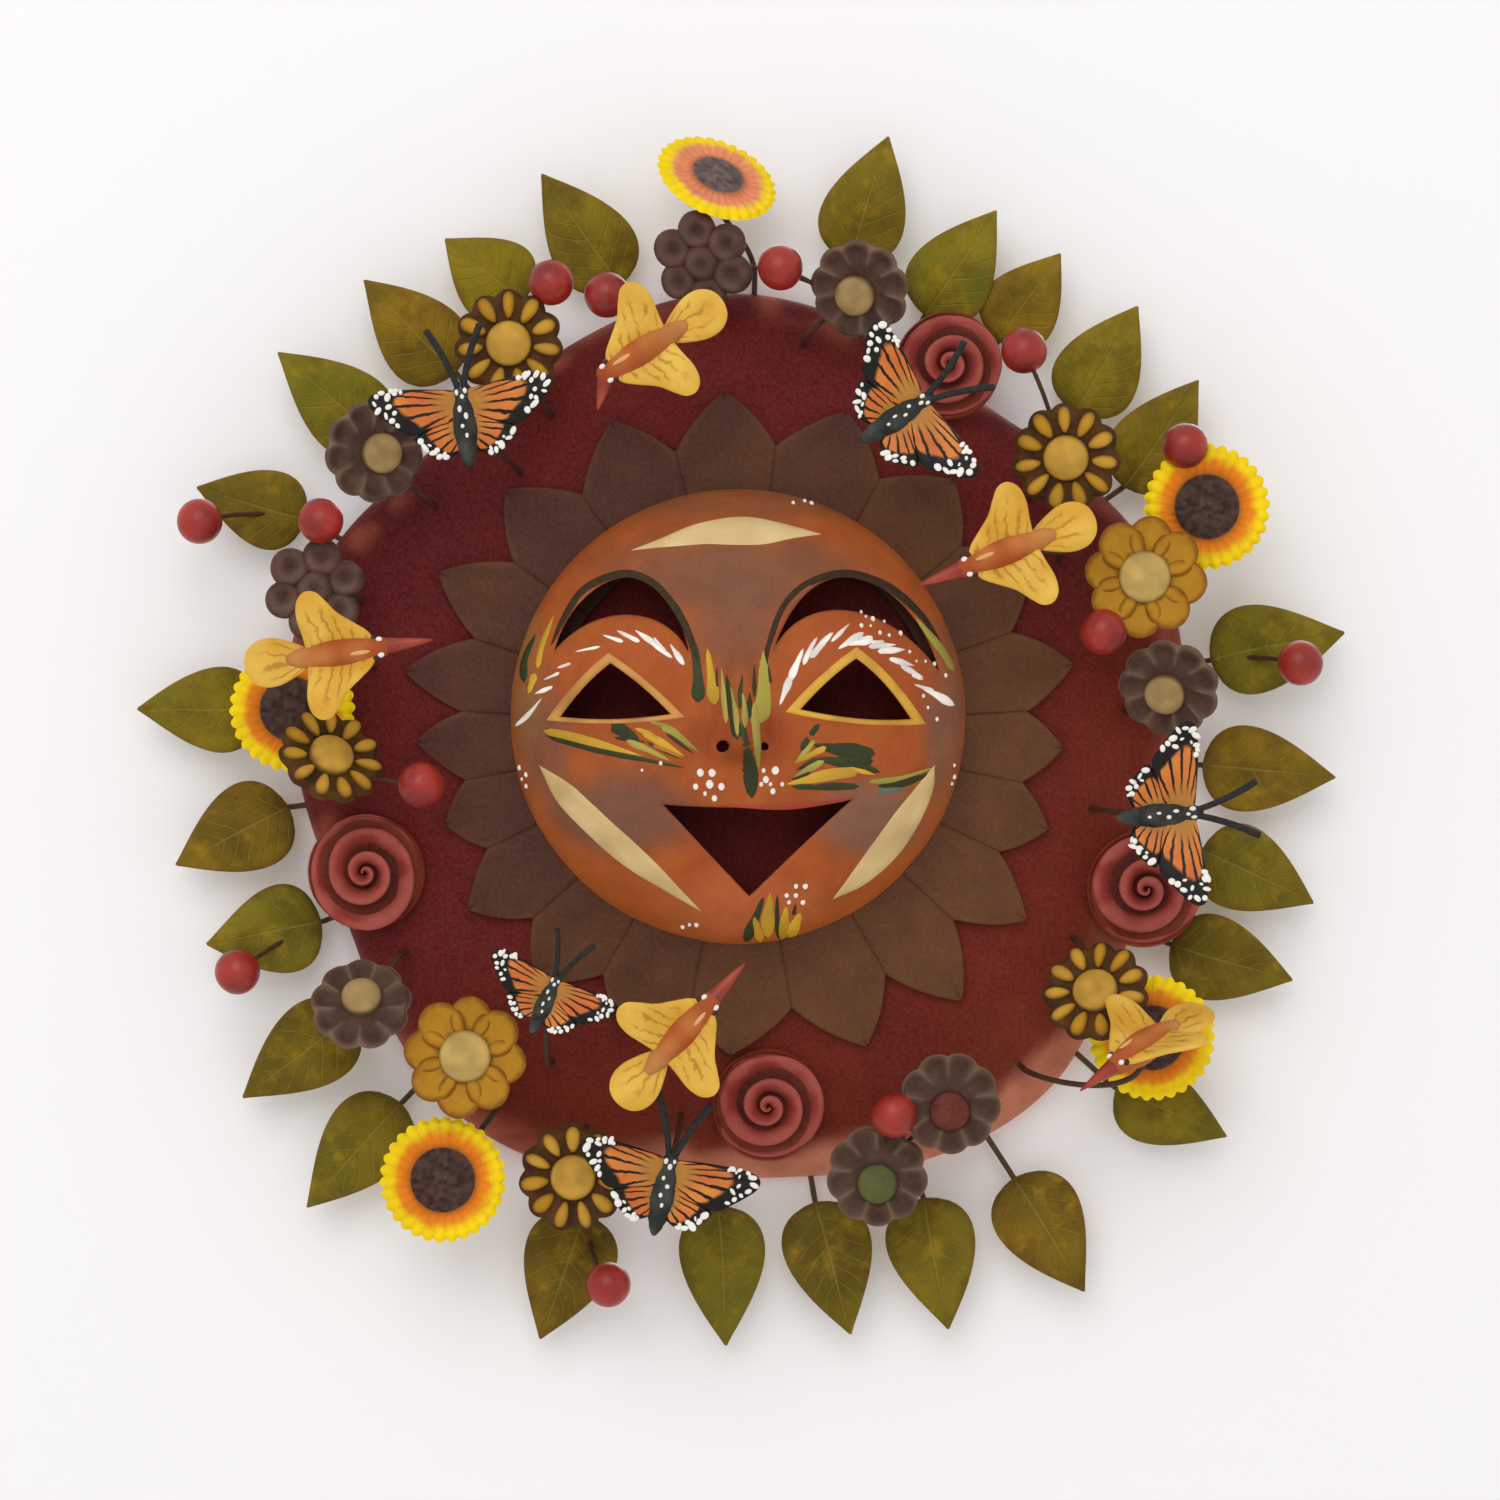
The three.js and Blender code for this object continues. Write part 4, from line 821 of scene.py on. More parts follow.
def face_paint(points):
    """Terracotta, with a painted glow of lighter orange along its lower rim, and broad grey-brown places
    rubbed over it.
    """
    u, v = 100 * points[:, 0] / FACE_RADIUS, 100 * (points[:, 2] - FACE_RAISE) / FACE_RADIUS
    wave = lumps(points, 14, 20) + 0.5 * lumps(points, 5, 21)

    def zone(at_u, at_v, half_u, half_v):
        return ramp(1.5, 0.5, np.hypot((u - at_u) / half_u, (v - at_v) / half_v) + 0.16 * wave)

    # Painted light: the rim is lighter orange only toward the bottom, as if lit from below
    rim = ramp(86, 97, np.hypot(u, v) + 3 * wave) * ramp(10, -50, v)
    lids = np.maximum(zone(-52, 22, 32, 18), zone(54, 22, 34, 18))
    return coated(
        blend("#9c481c", "#b05a26", 0.5 + 0.5 * wave),
        ("#7d513b", 0.85 * zone(-4, 62, 52, 16)), ("#7d513b", 0.8 * zone(-2, 44, 18, 26)),
        ("#6c5044", 0.75 * zone(-52, -42, 30, 17)), ("#6c5044", 0.6 * zone(-84, -12, 12, 30)),
        ("#7a6050", 0.7 * zone(60, -44, 24, 15)), ("#765a4a", 0.7 * zone(90, -4, 9, 40)),
        ("#bd6436", 0.75 * zone(2, -82, 30, 14)), ("#8e6a3a", 0.55 * zone(-92, 20, 9, 30)),
        ("#b35c22", 0.6 * rim), ("#7c4c30", 0.6 * zone(0, 95, 80, 10)),
        ("#ae5527", 0.8 * lids), ("#8c3a1c", 0.5 * zone(2, -8, 24, 12)))


def face_shell():
    """The mask: its outside, its inside, the walls of its holes, and its foot."""
    # The edges of the holes are rounded
    reach, drop = 1.1, 0.7
    flat, faces = pierced(FACE_RADIUS, 1.35, (0.45, reach))
    near = np.min([from_line(flat, hole) for hole in HOLES], axis=0)
    sink = drop * (1 - np.clip(near / reach, 0, 1)) ** 2
    points = on_face(flat, -sink)
    wave = lumps(points, 8, 22) * ramp(0, 6, FACE_RADIUS - np.hypot(*flat.T))
    points[:, 1] -= 0.22 * wave * ramp(0.2, 2, 1 - sink)
    skins = [on_show(points, [faces], face_paint(points), "face")]

    raw = "#7e3f2b"
    inner_limit = FACE_RADIUS - FACE_WALL
    flat, faces = pierced(inner_limit, 3.2, ())
    x, z = flat.T
    points = stacked(x, -inner_depth(x, z), z + FACE_RAISE)
    skins.append(skin(points, [faces], raw, "disc", facing=(0, 1, 0)))
    for hole in HOLES:
        x, z = hole.T
        outer = on_face(hole, np.full(len(hole), -drop))
        inner = stacked(x, -inner_depth(x, z), z + FACE_RAISE)
        points, faces = loft([outer * (1 - share) + inner * share for share in (0, 0.35, 0.7, 1)])
        paint = blend("#8d4b2d", raw, np.repeat([0, 0.5, 1, 1], len(hole)))
        skins.append(flipped(skin(points, faces, paint, "face")))
    # The shell's foot, down to the rays, its paint darkened as painted shade where it meets them
    degrees = np.linspace(0, -360, 240, endpoint=False)
    edge, inner = (around(degrees, radius, EDGE_DEPTH) + [0, 0, FACE_RAISE]
                   for radius in (FACE_RADIUS, inner_limit))
    foot, inner_foot = (stacked(x, -front_depth(x, z) - 0.4, z) for x, _, z in (edge.T, inner.T))
    points, faces = loft([edge, foot, inner_foot, inner])
    skins.append(skin(points, faces, face_paint(points) * 0.8, "face"))
    return skins


def stroke(line, width, paint, lift, finish="brush", taper=0.6, peak=0.62, seed=0):
    """A brush stroke that lies on the face, broadest near its start."""
    line = in_mm(line)
    if len(line) > 2:
        line = curve_through(line, 6)
    else:
        line = line[0] + np.linspace(0, 1, 12)[:, None] * (line[1] - line[0])
    along = np.gradient(line, axis=0)
    side = stacked(along[:, 1], -along[:, 0])
    side /= np.linalg.norm(side, axis=1)[:, None]
    share = np.linspace(0, 1, len(line))
    half = 0.62 * in_mm(width) * np.maximum(0.06, np.sin(np.pi * share ** peak) ** taper)
    half = half * (1 + 0.12 * np.sin(9 * share + seed))
    across = np.array([-1, -0.6, 0, 0.6, 1])
    flat = line[:, None] + side[:, None] * (across[:, None] * half[:, None, None])
    height = lift * np.array([-0.3, 0.75, 1, 0.75, -0.3]) * np.minimum(1, half / half.max() + 0.3)[:, None]
    points, faces = patch(on_face(flat, height))
    shade = 1 + 0.16 * np.sin(seed * 2.1 + share * 3)
    return on_show(points, faces, tone(paint) * np.repeat(shade, 5)[:, None], finish)


def eye_rim(hole, width, paint):
    """A painted band round an eye, whose corners reach out."""
    after = np.roll(hole, -1, axis=0)
    area = abs((hole[:, 0] * after[:, 1] - after[:, 0] * hole[:, 1]).sum()) / 2
    girth = np.linalg.norm(after - hole, axis=1).sum()
    middle = hole.mean(axis=0) - [0, 0.6]
    rows = []
    for share, rise in ((0.03, -0.5), (0.15, 0.2), (0.45, 0.45), (0.85, 0.3), (1, -0.15)):
        scale = 1 + share * in_mm(width) / (2 * area / girth)
        rows.append(on_face(middle + (hole - middle) * scale, np.full(len(hole), rise)))
    points, faces = loft(rows)
    return on_show(points, faces, blend(paint, "#9a6026", 0.15 + 0.5 * lumps(points, 5, 41)))


def face_drawing():
    """All that is painted on the mask."""
    skins = []
    for edges in CREAM_LEAVES:
        top, low = (curve_through(in_mm(edge), 8) for edge in edges)
        rows = [top * (1 - s) + low * s for s in (0, 0.06, 0.3, 0.5, 0.7, 0.94, 1)]
        height = np.array([-0.12, 0.16, 0.22, 0.22, 0.22, 0.16, -0.12])
        points, faces = patch(on_face(np.array(rows), np.broadcast_to(height[:, None], (7, len(top)))))
        paint = blend("#e3c68c", "#b99a62", 0.4 + 0.5 * lumps(points, 7, 30))
        skins.append(on_show(points, faces, paint))
    for hole, width, colour in zip(EYE_HOLES, (3.0, 3.4), ("#d0944e", "#dca83c")):
        skins.append(eye_rim(hole, width, colour))
    # Painted shade: a dark line along the upper edge of each brow hole
    for number, line in enumerate(BROW_SHADE_LINES):
        skins.append(stroke(line, 3.0, "#35291a", 0.22, "clay", taper=0.5, peak=1.0, seed=number))
    lips = [(-6, -38.4), (22, -38.6), (49.6, -35.2)]
    skins.append(stroke(lips, 2.0, "#a23a1e", 0.2, taper=0.4, peak=1.3, seed=4))
    for (colour, lift), lines in STROKES.items():
        for number, (width, *line) in enumerate(lines):
            skins.append(stroke(np.reshape(line, (-1, 2)), width, colour, lift, seed=number))
    for number, (across, up, radius) in enumerate(DOTS):
        place = on_face(in_mm([across, up]), 0.1)
        size = in_mm(radius) * (0.85 + 0.12 * np.sin(2.3 * number))
        skins.append(ball(place, (0.9 * size, 0.45, 1.1 * size), "#f2ebe0", "brush", rows=5, sides=8))
    return skins


# Ornaments. Each has its back at the origin, its front along -Y and its own top along +Z.

PETALS_OUT = 11.4
LEAF_GREENS = [("#6a640a", "#8a760e"), ("#625408", "#806e0e"), ("#605e0a", "#867812"),
               ("#685606", "#8a6a0c")]


def leaf(seed, length, width):
    """A pointed leaf with a rib and a curled edge, broadest near its foot."""
    across, on_top = profile(9)
    rng = np.random.default_rng(100 + seed)
    bend, twist, cup = rng.uniform(-1, 1), rng.uniform(-1, 1), rng.uniform(0.5, 1.2)
    tip_drift = 0.022 * length * bend
    rings, where = [], []
    for v in (0.0, *np.linspace(0.012, 0.98, 30)):
        half = 0.5 * width * 2.752 * np.sqrt(max(v, 0.0015)) * (1 - v) ** 1.12
        thick = 3.2 * min(1, 0.45 + half / (0.5 * width))
        drift = tip_drift * v ** 2.2 + 0.35 * twist * np.sin(5 * v)
        round_over = np.sqrt(np.maximum(0, 1 - np.abs(across) ** 4))
        curl = (0.35 * np.sin(9 * v + 3 * np.sign(across)) - 0.9 * cup) * across ** 2 * min(1, half / 8)
        rib = 0.5 * np.exp(-(across * half / 0.8) ** 2) * min(1, half / 5)
        side = np.where(on_top, rib - 0.62 * thick * round_over, 0.38 * thick * round_over)
        rings.append(stacked(across * half + drift, curl + side - 0.2 * length * v * (1 - v), v * length))
        where.append(stacked(across, v, 0.37 * seed))
    points, faces = loft(rings, rings[0].mean(axis=0), [tip_drift, 0, 0.988 * length])
    where = np.concatenate(where + [[[0, 0, 0]], [[0, 1, 0]]])
    across, v, _ = where.T
    points[:, 1] += 0.25 * lumps(points + 50 * seed, 7, 11)
    greens = LEAF_GREENS[seed % len(LEAF_GREENS)]
    # Brown along the edges and at the tip, and painted shade darkening the foot of the leaf by the disc
    paint = coated(blend(*greens, 0.5 + 0.6 * lumps(points + 31 * seed, 10, 12)),
                   ("#7a5a1e", 0.45 * ramp(0.75, 1.0, np.abs(across)) + 0.3 * ramp(0.8, 1, v)),
                   ("#4b3a14", 0.5 * ramp(0.2, 0.02, v)))
    # Leaves at the top catch more light
    paint = paint * (1 + 0.16 * np.cos(np.radians(LEAVES[seed - 1][0])))
    return [skin(points, faces, paint, "leaf", where)]


def sunflower(seed):
    """A raised dark eye in a ring of short petals, and a second row of them behind."""
    count, eye = 30, 0.56
    phase = np.random.default_rng(200 + seed).uniform(0, 1)

    def radius(share, turn):
        return SUNFLOWER_RADIUS * share * (1 - 0.075 * (1 - petals(turn + phase, count) ** 0.8) * share ** 6)

    def front(share, turn):
        if share < eye:
            return 3.0 + 2.6 * np.sqrt(1 - (share / 0.565) ** 2) + 0 * turn
        ridge, second = (petals(turn + phase + shift, count) for shift in (0, np.pi / count))
        fall = (share - eye) / (1 - eye)
        inner = 0.7 * ramp(0.8, 0.74, share - 0.04 * second) * (0.4 + 0.6 * second)
        return 3.2 + 1.1 * fall + 0.55 * ridge * ramp(0, 0.3, fall) + inner - 1.3 * ramp(0.8, 1.0, fall)

    shares = [*np.linspace(0.05, 0.5, 10), 0.53, eye, 0.6, 0.66, *np.linspace(0.72, 0.96, 7), 0.985, 1.0]
    points, faces, share, turn = dish(240, shares, radius, front, (0.35, 2.6))
    seeds = 0.55 * np.abs(lumps(points + 9 * seed, 1.3, 13))
    points[:, 1] -= np.where((share >= 0) & (share < eye + 0.01), seeds, 0.12 * lumps(points, 2.5, 14))
    # The top one is peach inside, and its dark eye is smaller and greyer
    inner, dark_to, darks = "#ee8418", 0.52, ("#2c1a16", "#5a4440", 0.35 + 0.5 * lumps(points, 1.3, 13))
    if seed == 0:
        inner, dark_to, darks = "#ea9068", 0.43, ("#4c3f40", "#7d6b66", 0.4 + 0.5 * lumps(points, 1.3, 13))
    between = 1 - petals(turn + phase, count) ** 0.5
    paint = coated(blend(inner, "#fbd80c", ramp(0.68, 0.84, share + 0.05 * lumps(points, 2.0, 15))),
                   ("#b86408", 0.5 * between * ramp(1.02, 0.62, share)),
                   ("#8a4a0e", 0.55 * ramp(dark_to + 0.12, dark_to, share)))
    paint = np.where((share < dark_to)[:, None], blend(*darks), paint)
    paint = np.where((share < 0)[:, None], blend("#fbd80c", "#a36a12", ramp(0.9, 0.3, -share)), paint)
    return [skin(points, faces, paint)]


def button(radius, height, depth, code, seed):
    """The round middle of a flower, with painted shade darkening its foot."""
    degrees = np.linspace(0, 360, 36, endpoint=False)
    rings = [around(degrees, radius * share, depth + height * np.sqrt(1 - (share * 0.97) ** 2.6))
             for share in (0.25, 0.5, 0.72, 0.88, 0.97, 1.0)]
    rings.append(around(degrees, radius, depth - 0.8))
    points, faces = loft(rings, [0, -depth - height, 0], [0, 0.8 - depth, 0])
    points[:, 1] -= 0.25 * lumps(points + 3 * seed, 2.6, 16)
    colour = tone(code) * (1 - 0.38 * np.clip(0.35 + 0.6 * lumps(points + seed, 3.0, 17), 0, 1))[:, None]
    # Painted shade: a darker copy of its colour toward its foot, where it meets the petals
    edge = ramp(0.9, 1.02, np.hypot(points[:, 0], points[:, 2]) / radius)
    return skin(points, faces, blend(colour, tone(code) * 0.35, edge))


def daisy(seed):
    """Eleven drops of clay on a dark dish, round a button."""
    count = 11

    def radius(share, turn):
        return DAISY_RADIUS * share * (1 - 0.11 * (1 - petals(turn, count)) * share ** 4)

    def front(share, turn):
        ridge = 0.7 * petals(turn, count) * ramp(0.45, 0.75, share)
        return 3.4 + 1.4 * share ** 2 - 2.0 * ramp(0.86, 1.0, share) + ridge

    shares = [0.2, 0.4, 0.5, 0.6, 0.7, 0.78, 0.85, 0.9, 0.95, 0.98, 1.0]
    points, faces, _, _ = dish(132, shares, radius, front, (0.4, 2.2))
    points[:, 1] -= 0.15 * lumps(points, 2.2, 18)
    skins = [skin(points, faces, blend("#38200c", "#5a3812", 0.5 + 0.6 * lumps(points, 4, 19)))]
    for number in range(count):
        clock = 360 * number / count
        size = 2.5 + 0.25 * np.sin(1.7 * number + seed), 1.75, 4.1 + 0.25 * np.cos(2.1 * number + seed)
        drop = ball((0, 0, 0), size, 0, rows=9, sides=14, rough=0.05, seed=number + seed)
        x, y, z = drop["points"].T
        x *= 0.82 + 0.2 * z / size[2]
        light = blend("#b9861f", "#cf9f3a", 0.4 + 0.4 * np.sin(number * 1.3 + seed))
        # Painted shade: each drop darkens from its front toward its sides and back
        drop["paint"] = blend("#7a5212", light, ramp(0, 1.7, -y))
        skins += turned([drop], rotation(clock, 6), around(clock, PETALS_OUT, 4.6))
    return [*skins, button(6.8, 3.8, 4.0, "#cfa040", seed)]


def mustard_flower(seed):
    """Eight spoon-shaped petals round a button."""
    count, skins = 8, []
    for number in range(count):
        def radius(share, turn):
            stretch = 1 + 0.13 * np.cos(turn) ** 2 - 0.1 * np.clip(-np.cos(turn), 0, 1)
            return (6.8 + 0.25 * np.sin(number * 2.3 + seed)) * share * stretch

        def front(share, turn):
            groove = 0.5 * np.exp(-(np.sin(turn) * share / 0.13) ** 2) * ramp(0.2, 0.5, share)
            return 1.5 + 1.9 * share ** 2.2 - 1.2 * ramp(0.86, 1.0, share) - groove

        shares = [0.25, 0.45, 0.62, 0.75, 0.85, 0.92, 0.97, 1.0]
        points, faces, share, turn = dish(36, shares, radius, front, (0.0, 1.4))
        points[:, 1] -= 0.12 * lumps(points + number, 2.0, 23)
        share = np.abs(share)
        rim = ramp(0.7, 1.0, share + 0.08 * lumps(points + number * 7, 1.5, 24))
        groove = np.exp(-(np.sin(turn) / 0.3) ** 2) * ramp(0.25, 0.5, share) * (np.cos(turn) < 0.3)
        petal = skin(points, faces, coated(blend("#b88420", "#84500c", rim), ("#7b4710", 0.5 * groove)))
        clock = 360 * number / count + 8
        place = around(clock, PETALS_OUT, 3.0 + 0.4 * (number % 2))
        skins += turned([petal], rotation(clock, 14), place)
    skins.append(ball((0, -2.2, 0), (8.3, 2.2, 8.3), "#7d4f14", rows=8, sides=24))
    return [*skins, button(7.8, 3.4, 4.2, "#cfae64", seed)]


def dark_balls(seed):
    """Six thumb-pressed lumps round a seventh."""
    skins = []
    for number in range(7):
        size, dented, place = 6.0 + 0.25 * np.sin(number * 1.9 + seed), 2.3, (60 * number + 12, 9.7, 4.4)
        if number == 6:
            size, dented, place = 5.6, 1.2, (0, 0, 5.2)
        lump = ball((0, 0, 0), (size, 4.2, size), 0, rows=14, sides=26, rough=0.04, seed=number + seed)
        x, y, z = lump["points"].T
        dent = np.exp(-(x ** 2 + (z - 0.6) ** 2) / 7.5) * (y < 0)
        y += dented * dent
        paint = blend("#46302a", "#684a40", 0.5 + 0.6 * lumps(lump["points"] + 5 * number, 3, 25))
        # Painted shade darkens each thumb dent, and a painted highlight lightens the front of each lump
        high = ramp(2.2, 3.6, -y) * (1 - dent)
        lump["paint"] = coated(paint, ("#33231f", 0.75 * dent), ("#7c675a", 0.5 * high))
        skins += turned([lump], offset=around(*place))
    return skins


def dark_cup(seed, middle="#b0925e"):
    """A fluted cup of nine petals round a raised button."""
    count = 9
    phase = 0.35 * seed

    def radius(share, turn):
        return DARK_CUP_RADIUS * share * (1 - 0.10 * (1 - petals(turn + phase, count) ** 0.7) * share ** 3)

    def front(share, turn):
        hollow = petals(turn + phase, count)
        wall = 1.3 * (1 - hollow) ** 1.6 * ramp(0.4, 0.6, share) * ramp(1.02, 0.86, share)
        dip = 1.1 * hollow * np.exp(-((share - 0.72) / 0.16) ** 2)
        return 2.6 + 2.9 * share ** 2.2 + wall - dip - 2.2 * ramp(0.9, 1.0, share)

    shares = [0.2, 0.4, 0.48, 0.56, 0.63, 0.7, 0.77, 0.83, 0.88, 0.92, 0.955, 0.98, 1.0]
    points, faces, share, turn = dish(144, shares, radius, front, (0.4, 2.4))
    points[:, 1] -= 0.15 * lumps(points, 2.0, 26)
    ridge = (1 - petals(turn + phase, count)) ** 2 * ramp(0.42, 0.6, share)
    paint = coated(blend("#3f2b26", "#583f33", 0.5 + 0.6 * lumps(points + seed, 3, 27)),
                   ("#86705c", 0.6 * ridge + 0.35 * ramp(0.9, 0.98, share)))
    return [skin(points, faces, paint), *turned([button(6.1, 3.0, 3.4, middle, seed)], offset=(0, 0, -2.5))]


def berry(spot, seed):
    """A glazed red ball."""
    made = ball((0, 0, 0), 0.98 * BERRY_RADIUS, 0, "gloss", rows=18, sides=30, rough=0.015, seed=seed)
    made["paint"] = blend("#7a1a16", "#a82a22", 0.5 + 0.7 * lumps(made["points"] + seed * 11, 6, 28))
    return turned([made], offset=spot)


# An outline, the two ends of its root, and two rows of dabs: share out, spacing, size, and from where
# to where along the outline
WINGS = [
    ([[2, 38], [30, 42], [62, 45], [90, 45], [102, 40], [102, 29], [90, 16], [76, 4], [60, -6],
      [30, 0], [2, 9]],
     (38, 9), [(0.93, 2.5, 1.0, 0.31, 0.66), (0.8, 3.0, 0.8, 0.34, 0.56)]),
    ([[2, 14], [30, 4], [56, -7], [56, -14], [46, -25], [32, -34], [16, -32], [2, -22]],
     (14, -22), [(0.93, 2.5, 1.0, 0.5, 0.84), (0.8, 3.0, 0.8, 0.56, 0.8)]),
]
WING_SCALE = 0.27


def plate(line, root, outs, bulge, edge, wave=0.0):
    """A thin plate between a root line and an outline, both as (across, up) points. `bulge` is half its
    thickness at each share of the way out, and `edge` how it thins at both sides. Gives its points and
    faces, each point's share out and along, and the points of the root."""
    share = np.linspace(0, 1, len(line))
    root = np.array(root, float)
    start = root[0] + share[:, None] * (root[1] - root[0])
    flat = start + outs[:, None, None] * (line - start)
    half = bulge[:, None] * np.minimum(1, np.minimum(share, 1 - share) * edge[0] + edge[1])
    top, low = (stacked(flat[..., 0], side * half - wave, flat[..., 1]) for side in (-1, 1))
    points, faces = patch(np.concatenate([top, low[::-1]]))
    index = np.arange(len(points)).reshape(-1, len(line))
    for column, way in ((0, -1), (-1, 1)):
        a, b = index[:len(outs), column], index[len(outs):, column][::-1]
        faces.append(np.stack([a[:-1], *[a[1:], b[1:], b[:-1]][::way]], -1))
    out, along = np.meshgrid([*outs, *outs[::-1]], share, indexing="ij")
    return points, faces, out.ravel(), along.ravel(), start


def wing(kind, hand, seed):
    """Kind 0 is the fore wing and 1 the hind wing. Hand is 1 on the right."""
    def wave(out):
        return 0.5 * np.sin(out * 3 + 1.0) * out

    outline_points, roots, rows = WINGS[kind]
    line = curve_through(np.array(outline_points) * WING_SCALE, 6) * [hand, 1]
    outs = np.array([0.0, 0.2, 0.4, 0.55, 0.68, 0.78, 0.86, 0.93, 0.975, 1.0])
    ripple = 0.12 * np.sin(np.linspace(0, 40, len(line))) * ramp(0.1, 0.5, outs)[:, None]
    bulge = 0.9 * np.sqrt(1 - outs ** 8) * (1 - 0.25 * outs)
    root = [[hand * 2.2, up * WING_SCALE] for up in roots]
    bend = wave(outs)[:, None] + ripple
    points, faces, out, along, start = plate(line, root, outs, bulge, (14, 0.35), bend)
    paint = coated(blend("#c8652a", "#dd8c3e", 0.4 + 0.6 * lumps(points + 13 * seed, 5, 31)),
                   ("#a07c34", 0.7 * ramp(0.42, 0.12, out + 0.1 * lumps(points + seed, 3, 32))))
    skins = [skin(points, faces, paint, "wing", stacked(out, along, 0.5 * seed))]
    # Thick white dabs in the border
    rng = np.random.default_rng(300 + seed)
    lengths = np.concatenate([[0], np.cumsum(np.linalg.norm(np.diff(line, axis=0), axis=1))])
    for row, spacing, size, first, last in rows:
        for at in np.arange(first * lengths[-1], last * lengths[-1], spacing):
            k = int(np.searchsorted(lengths, at))
            out = row + rng.uniform(-0.03, 0.02)
            x, z = start[k] + out * (line[k] - start[k])
            heavy = size * rng.uniform(0.7, 1.25)
            half = heavy * rng.uniform(0.9, 1.5), 0.5, heavy * rng.uniform(0.65, 1.0)
            dab = ball((0, 0, 0), half, "#f3efe8", "brush", rows=5, sides=8)
            skins += turned([dab], rotation(rng.uniform(0, 180)), (x, -0.62 - wave(out), z))
    return skins


def butterfly(seed, share=1.0):
    """Four wings, a ringed body with white spots, and two feelers."""
    skins = []
    for hand in (1, -1):
        for kind, lower in enumerate((-0.1, 0.25)):
            made = wing(kind, hand, 4 * seed + 2 * kind + (hand > 0))
            skins += turned(made, rotation(0, 0, -14 * hand), (0, lower, 0))
    trunk = ball((0, 0, 0), (3.9, 3.6, 13.0), 0, rows=20, sides=20)
    body = trunk["points"]
    up = body[:, 2]
    waist = 1 - 0.25 * np.exp(-((up - 7.2) / 1.3) ** 2) - 0.22 * ramp(-4, -13, up)
    body[:, :2] *= ((1 + 0.05 * np.sin(up * 2.2) * (up < 3)) * waist)[:, None]
    trunk["paint"] = blend("#1e2324", "#49504c", 0.4 + 0.6 * lumps(body + seed, 3, 32))
    skins.append(trunk)
    rng = np.random.default_rng(350 + seed)
    for at, side in ((9.6, -1.3), (9.9, 1.2), (8.2, 0.2), (4.6, -0.9), (2.4, 0.7), (-0.5, -0.6), (-3.2, 0.3)):
        place = side, -3.325 * np.sqrt(1 - (at / 13) ** 2), at
        size = rng.uniform(0.5, 0.75), 0.5, rng.uniform(0.7, 1.1)
        skins.append(ball(place, size, "#ece9e2", "brush", rows=5, sides=8))
    for hand in (1, -1):
        path = bezier([hand * 0.8, -1.0, 10.8], [hand * 3, -2, 19.9], [hand * 8, -3, 28.7], steps=10)
        skins.append(tube(path, np.linspace(0.95, 1.1, 11), "#23282a", "clay", sides=8))
    return turned(turned(skins, offset=(0, -3.9, 0)), share * np.eye(3))


BIRD_WING = [[2, 11.5], [5.5, 9.6], [8.4, 6.3], [12.2, 1.8], [16.4, -1.2], [19.4, -3.8], [19.8, -7.0],
             [17.2, -9.6], [12.5, -10.4], [7, -9.6], [2, -9.0]]
BIRD_TAIL = [[-2.2, -8], [-4.6, -12], [-7.0, -18], [-6.9, -23], [-4.3, -26.6], [0, -27.8], [4.3, -26.6],
             [6.9, -23], [7.0, -18], [4.6, -12], [2.2, -8]]
# How far up, and how thick there
BIRD_BODY = [(-15.4, 0.9), (-14.5, 1.8), (-12, 2.7), (-9, 3.5), (-5, 4.3), (-1, 4.8), (3, 4.8), (7, 4.2),
             (10, 3.6), (12.5, 3.2), (14.5, 2.5), (15.3, 1.4)]


def bird_feather(line, root, seed):
    """A wing or a tail."""
    outs = np.array([0.0, 0.15, 0.3, 0.45, 0.6, 0.73, 0.84, 0.92, 0.97, 1.0])
    line = curve_through(line, 5)
    points, faces, out, along, _ = plate(line, root, outs, np.sqrt(1 - outs ** 6), (10, 0.3))
    paint = coated(blend("#d49a2c", "#e9bf55", 0.45 + 0.5 * lumps(points + 7 * seed, 6, 33)),
                   ("#c9852f", 0.6 * ramp(0.3, 0.05, out)))
    return skin(points, faces, paint, "feather", stacked(along, out, 0.3 * seed))


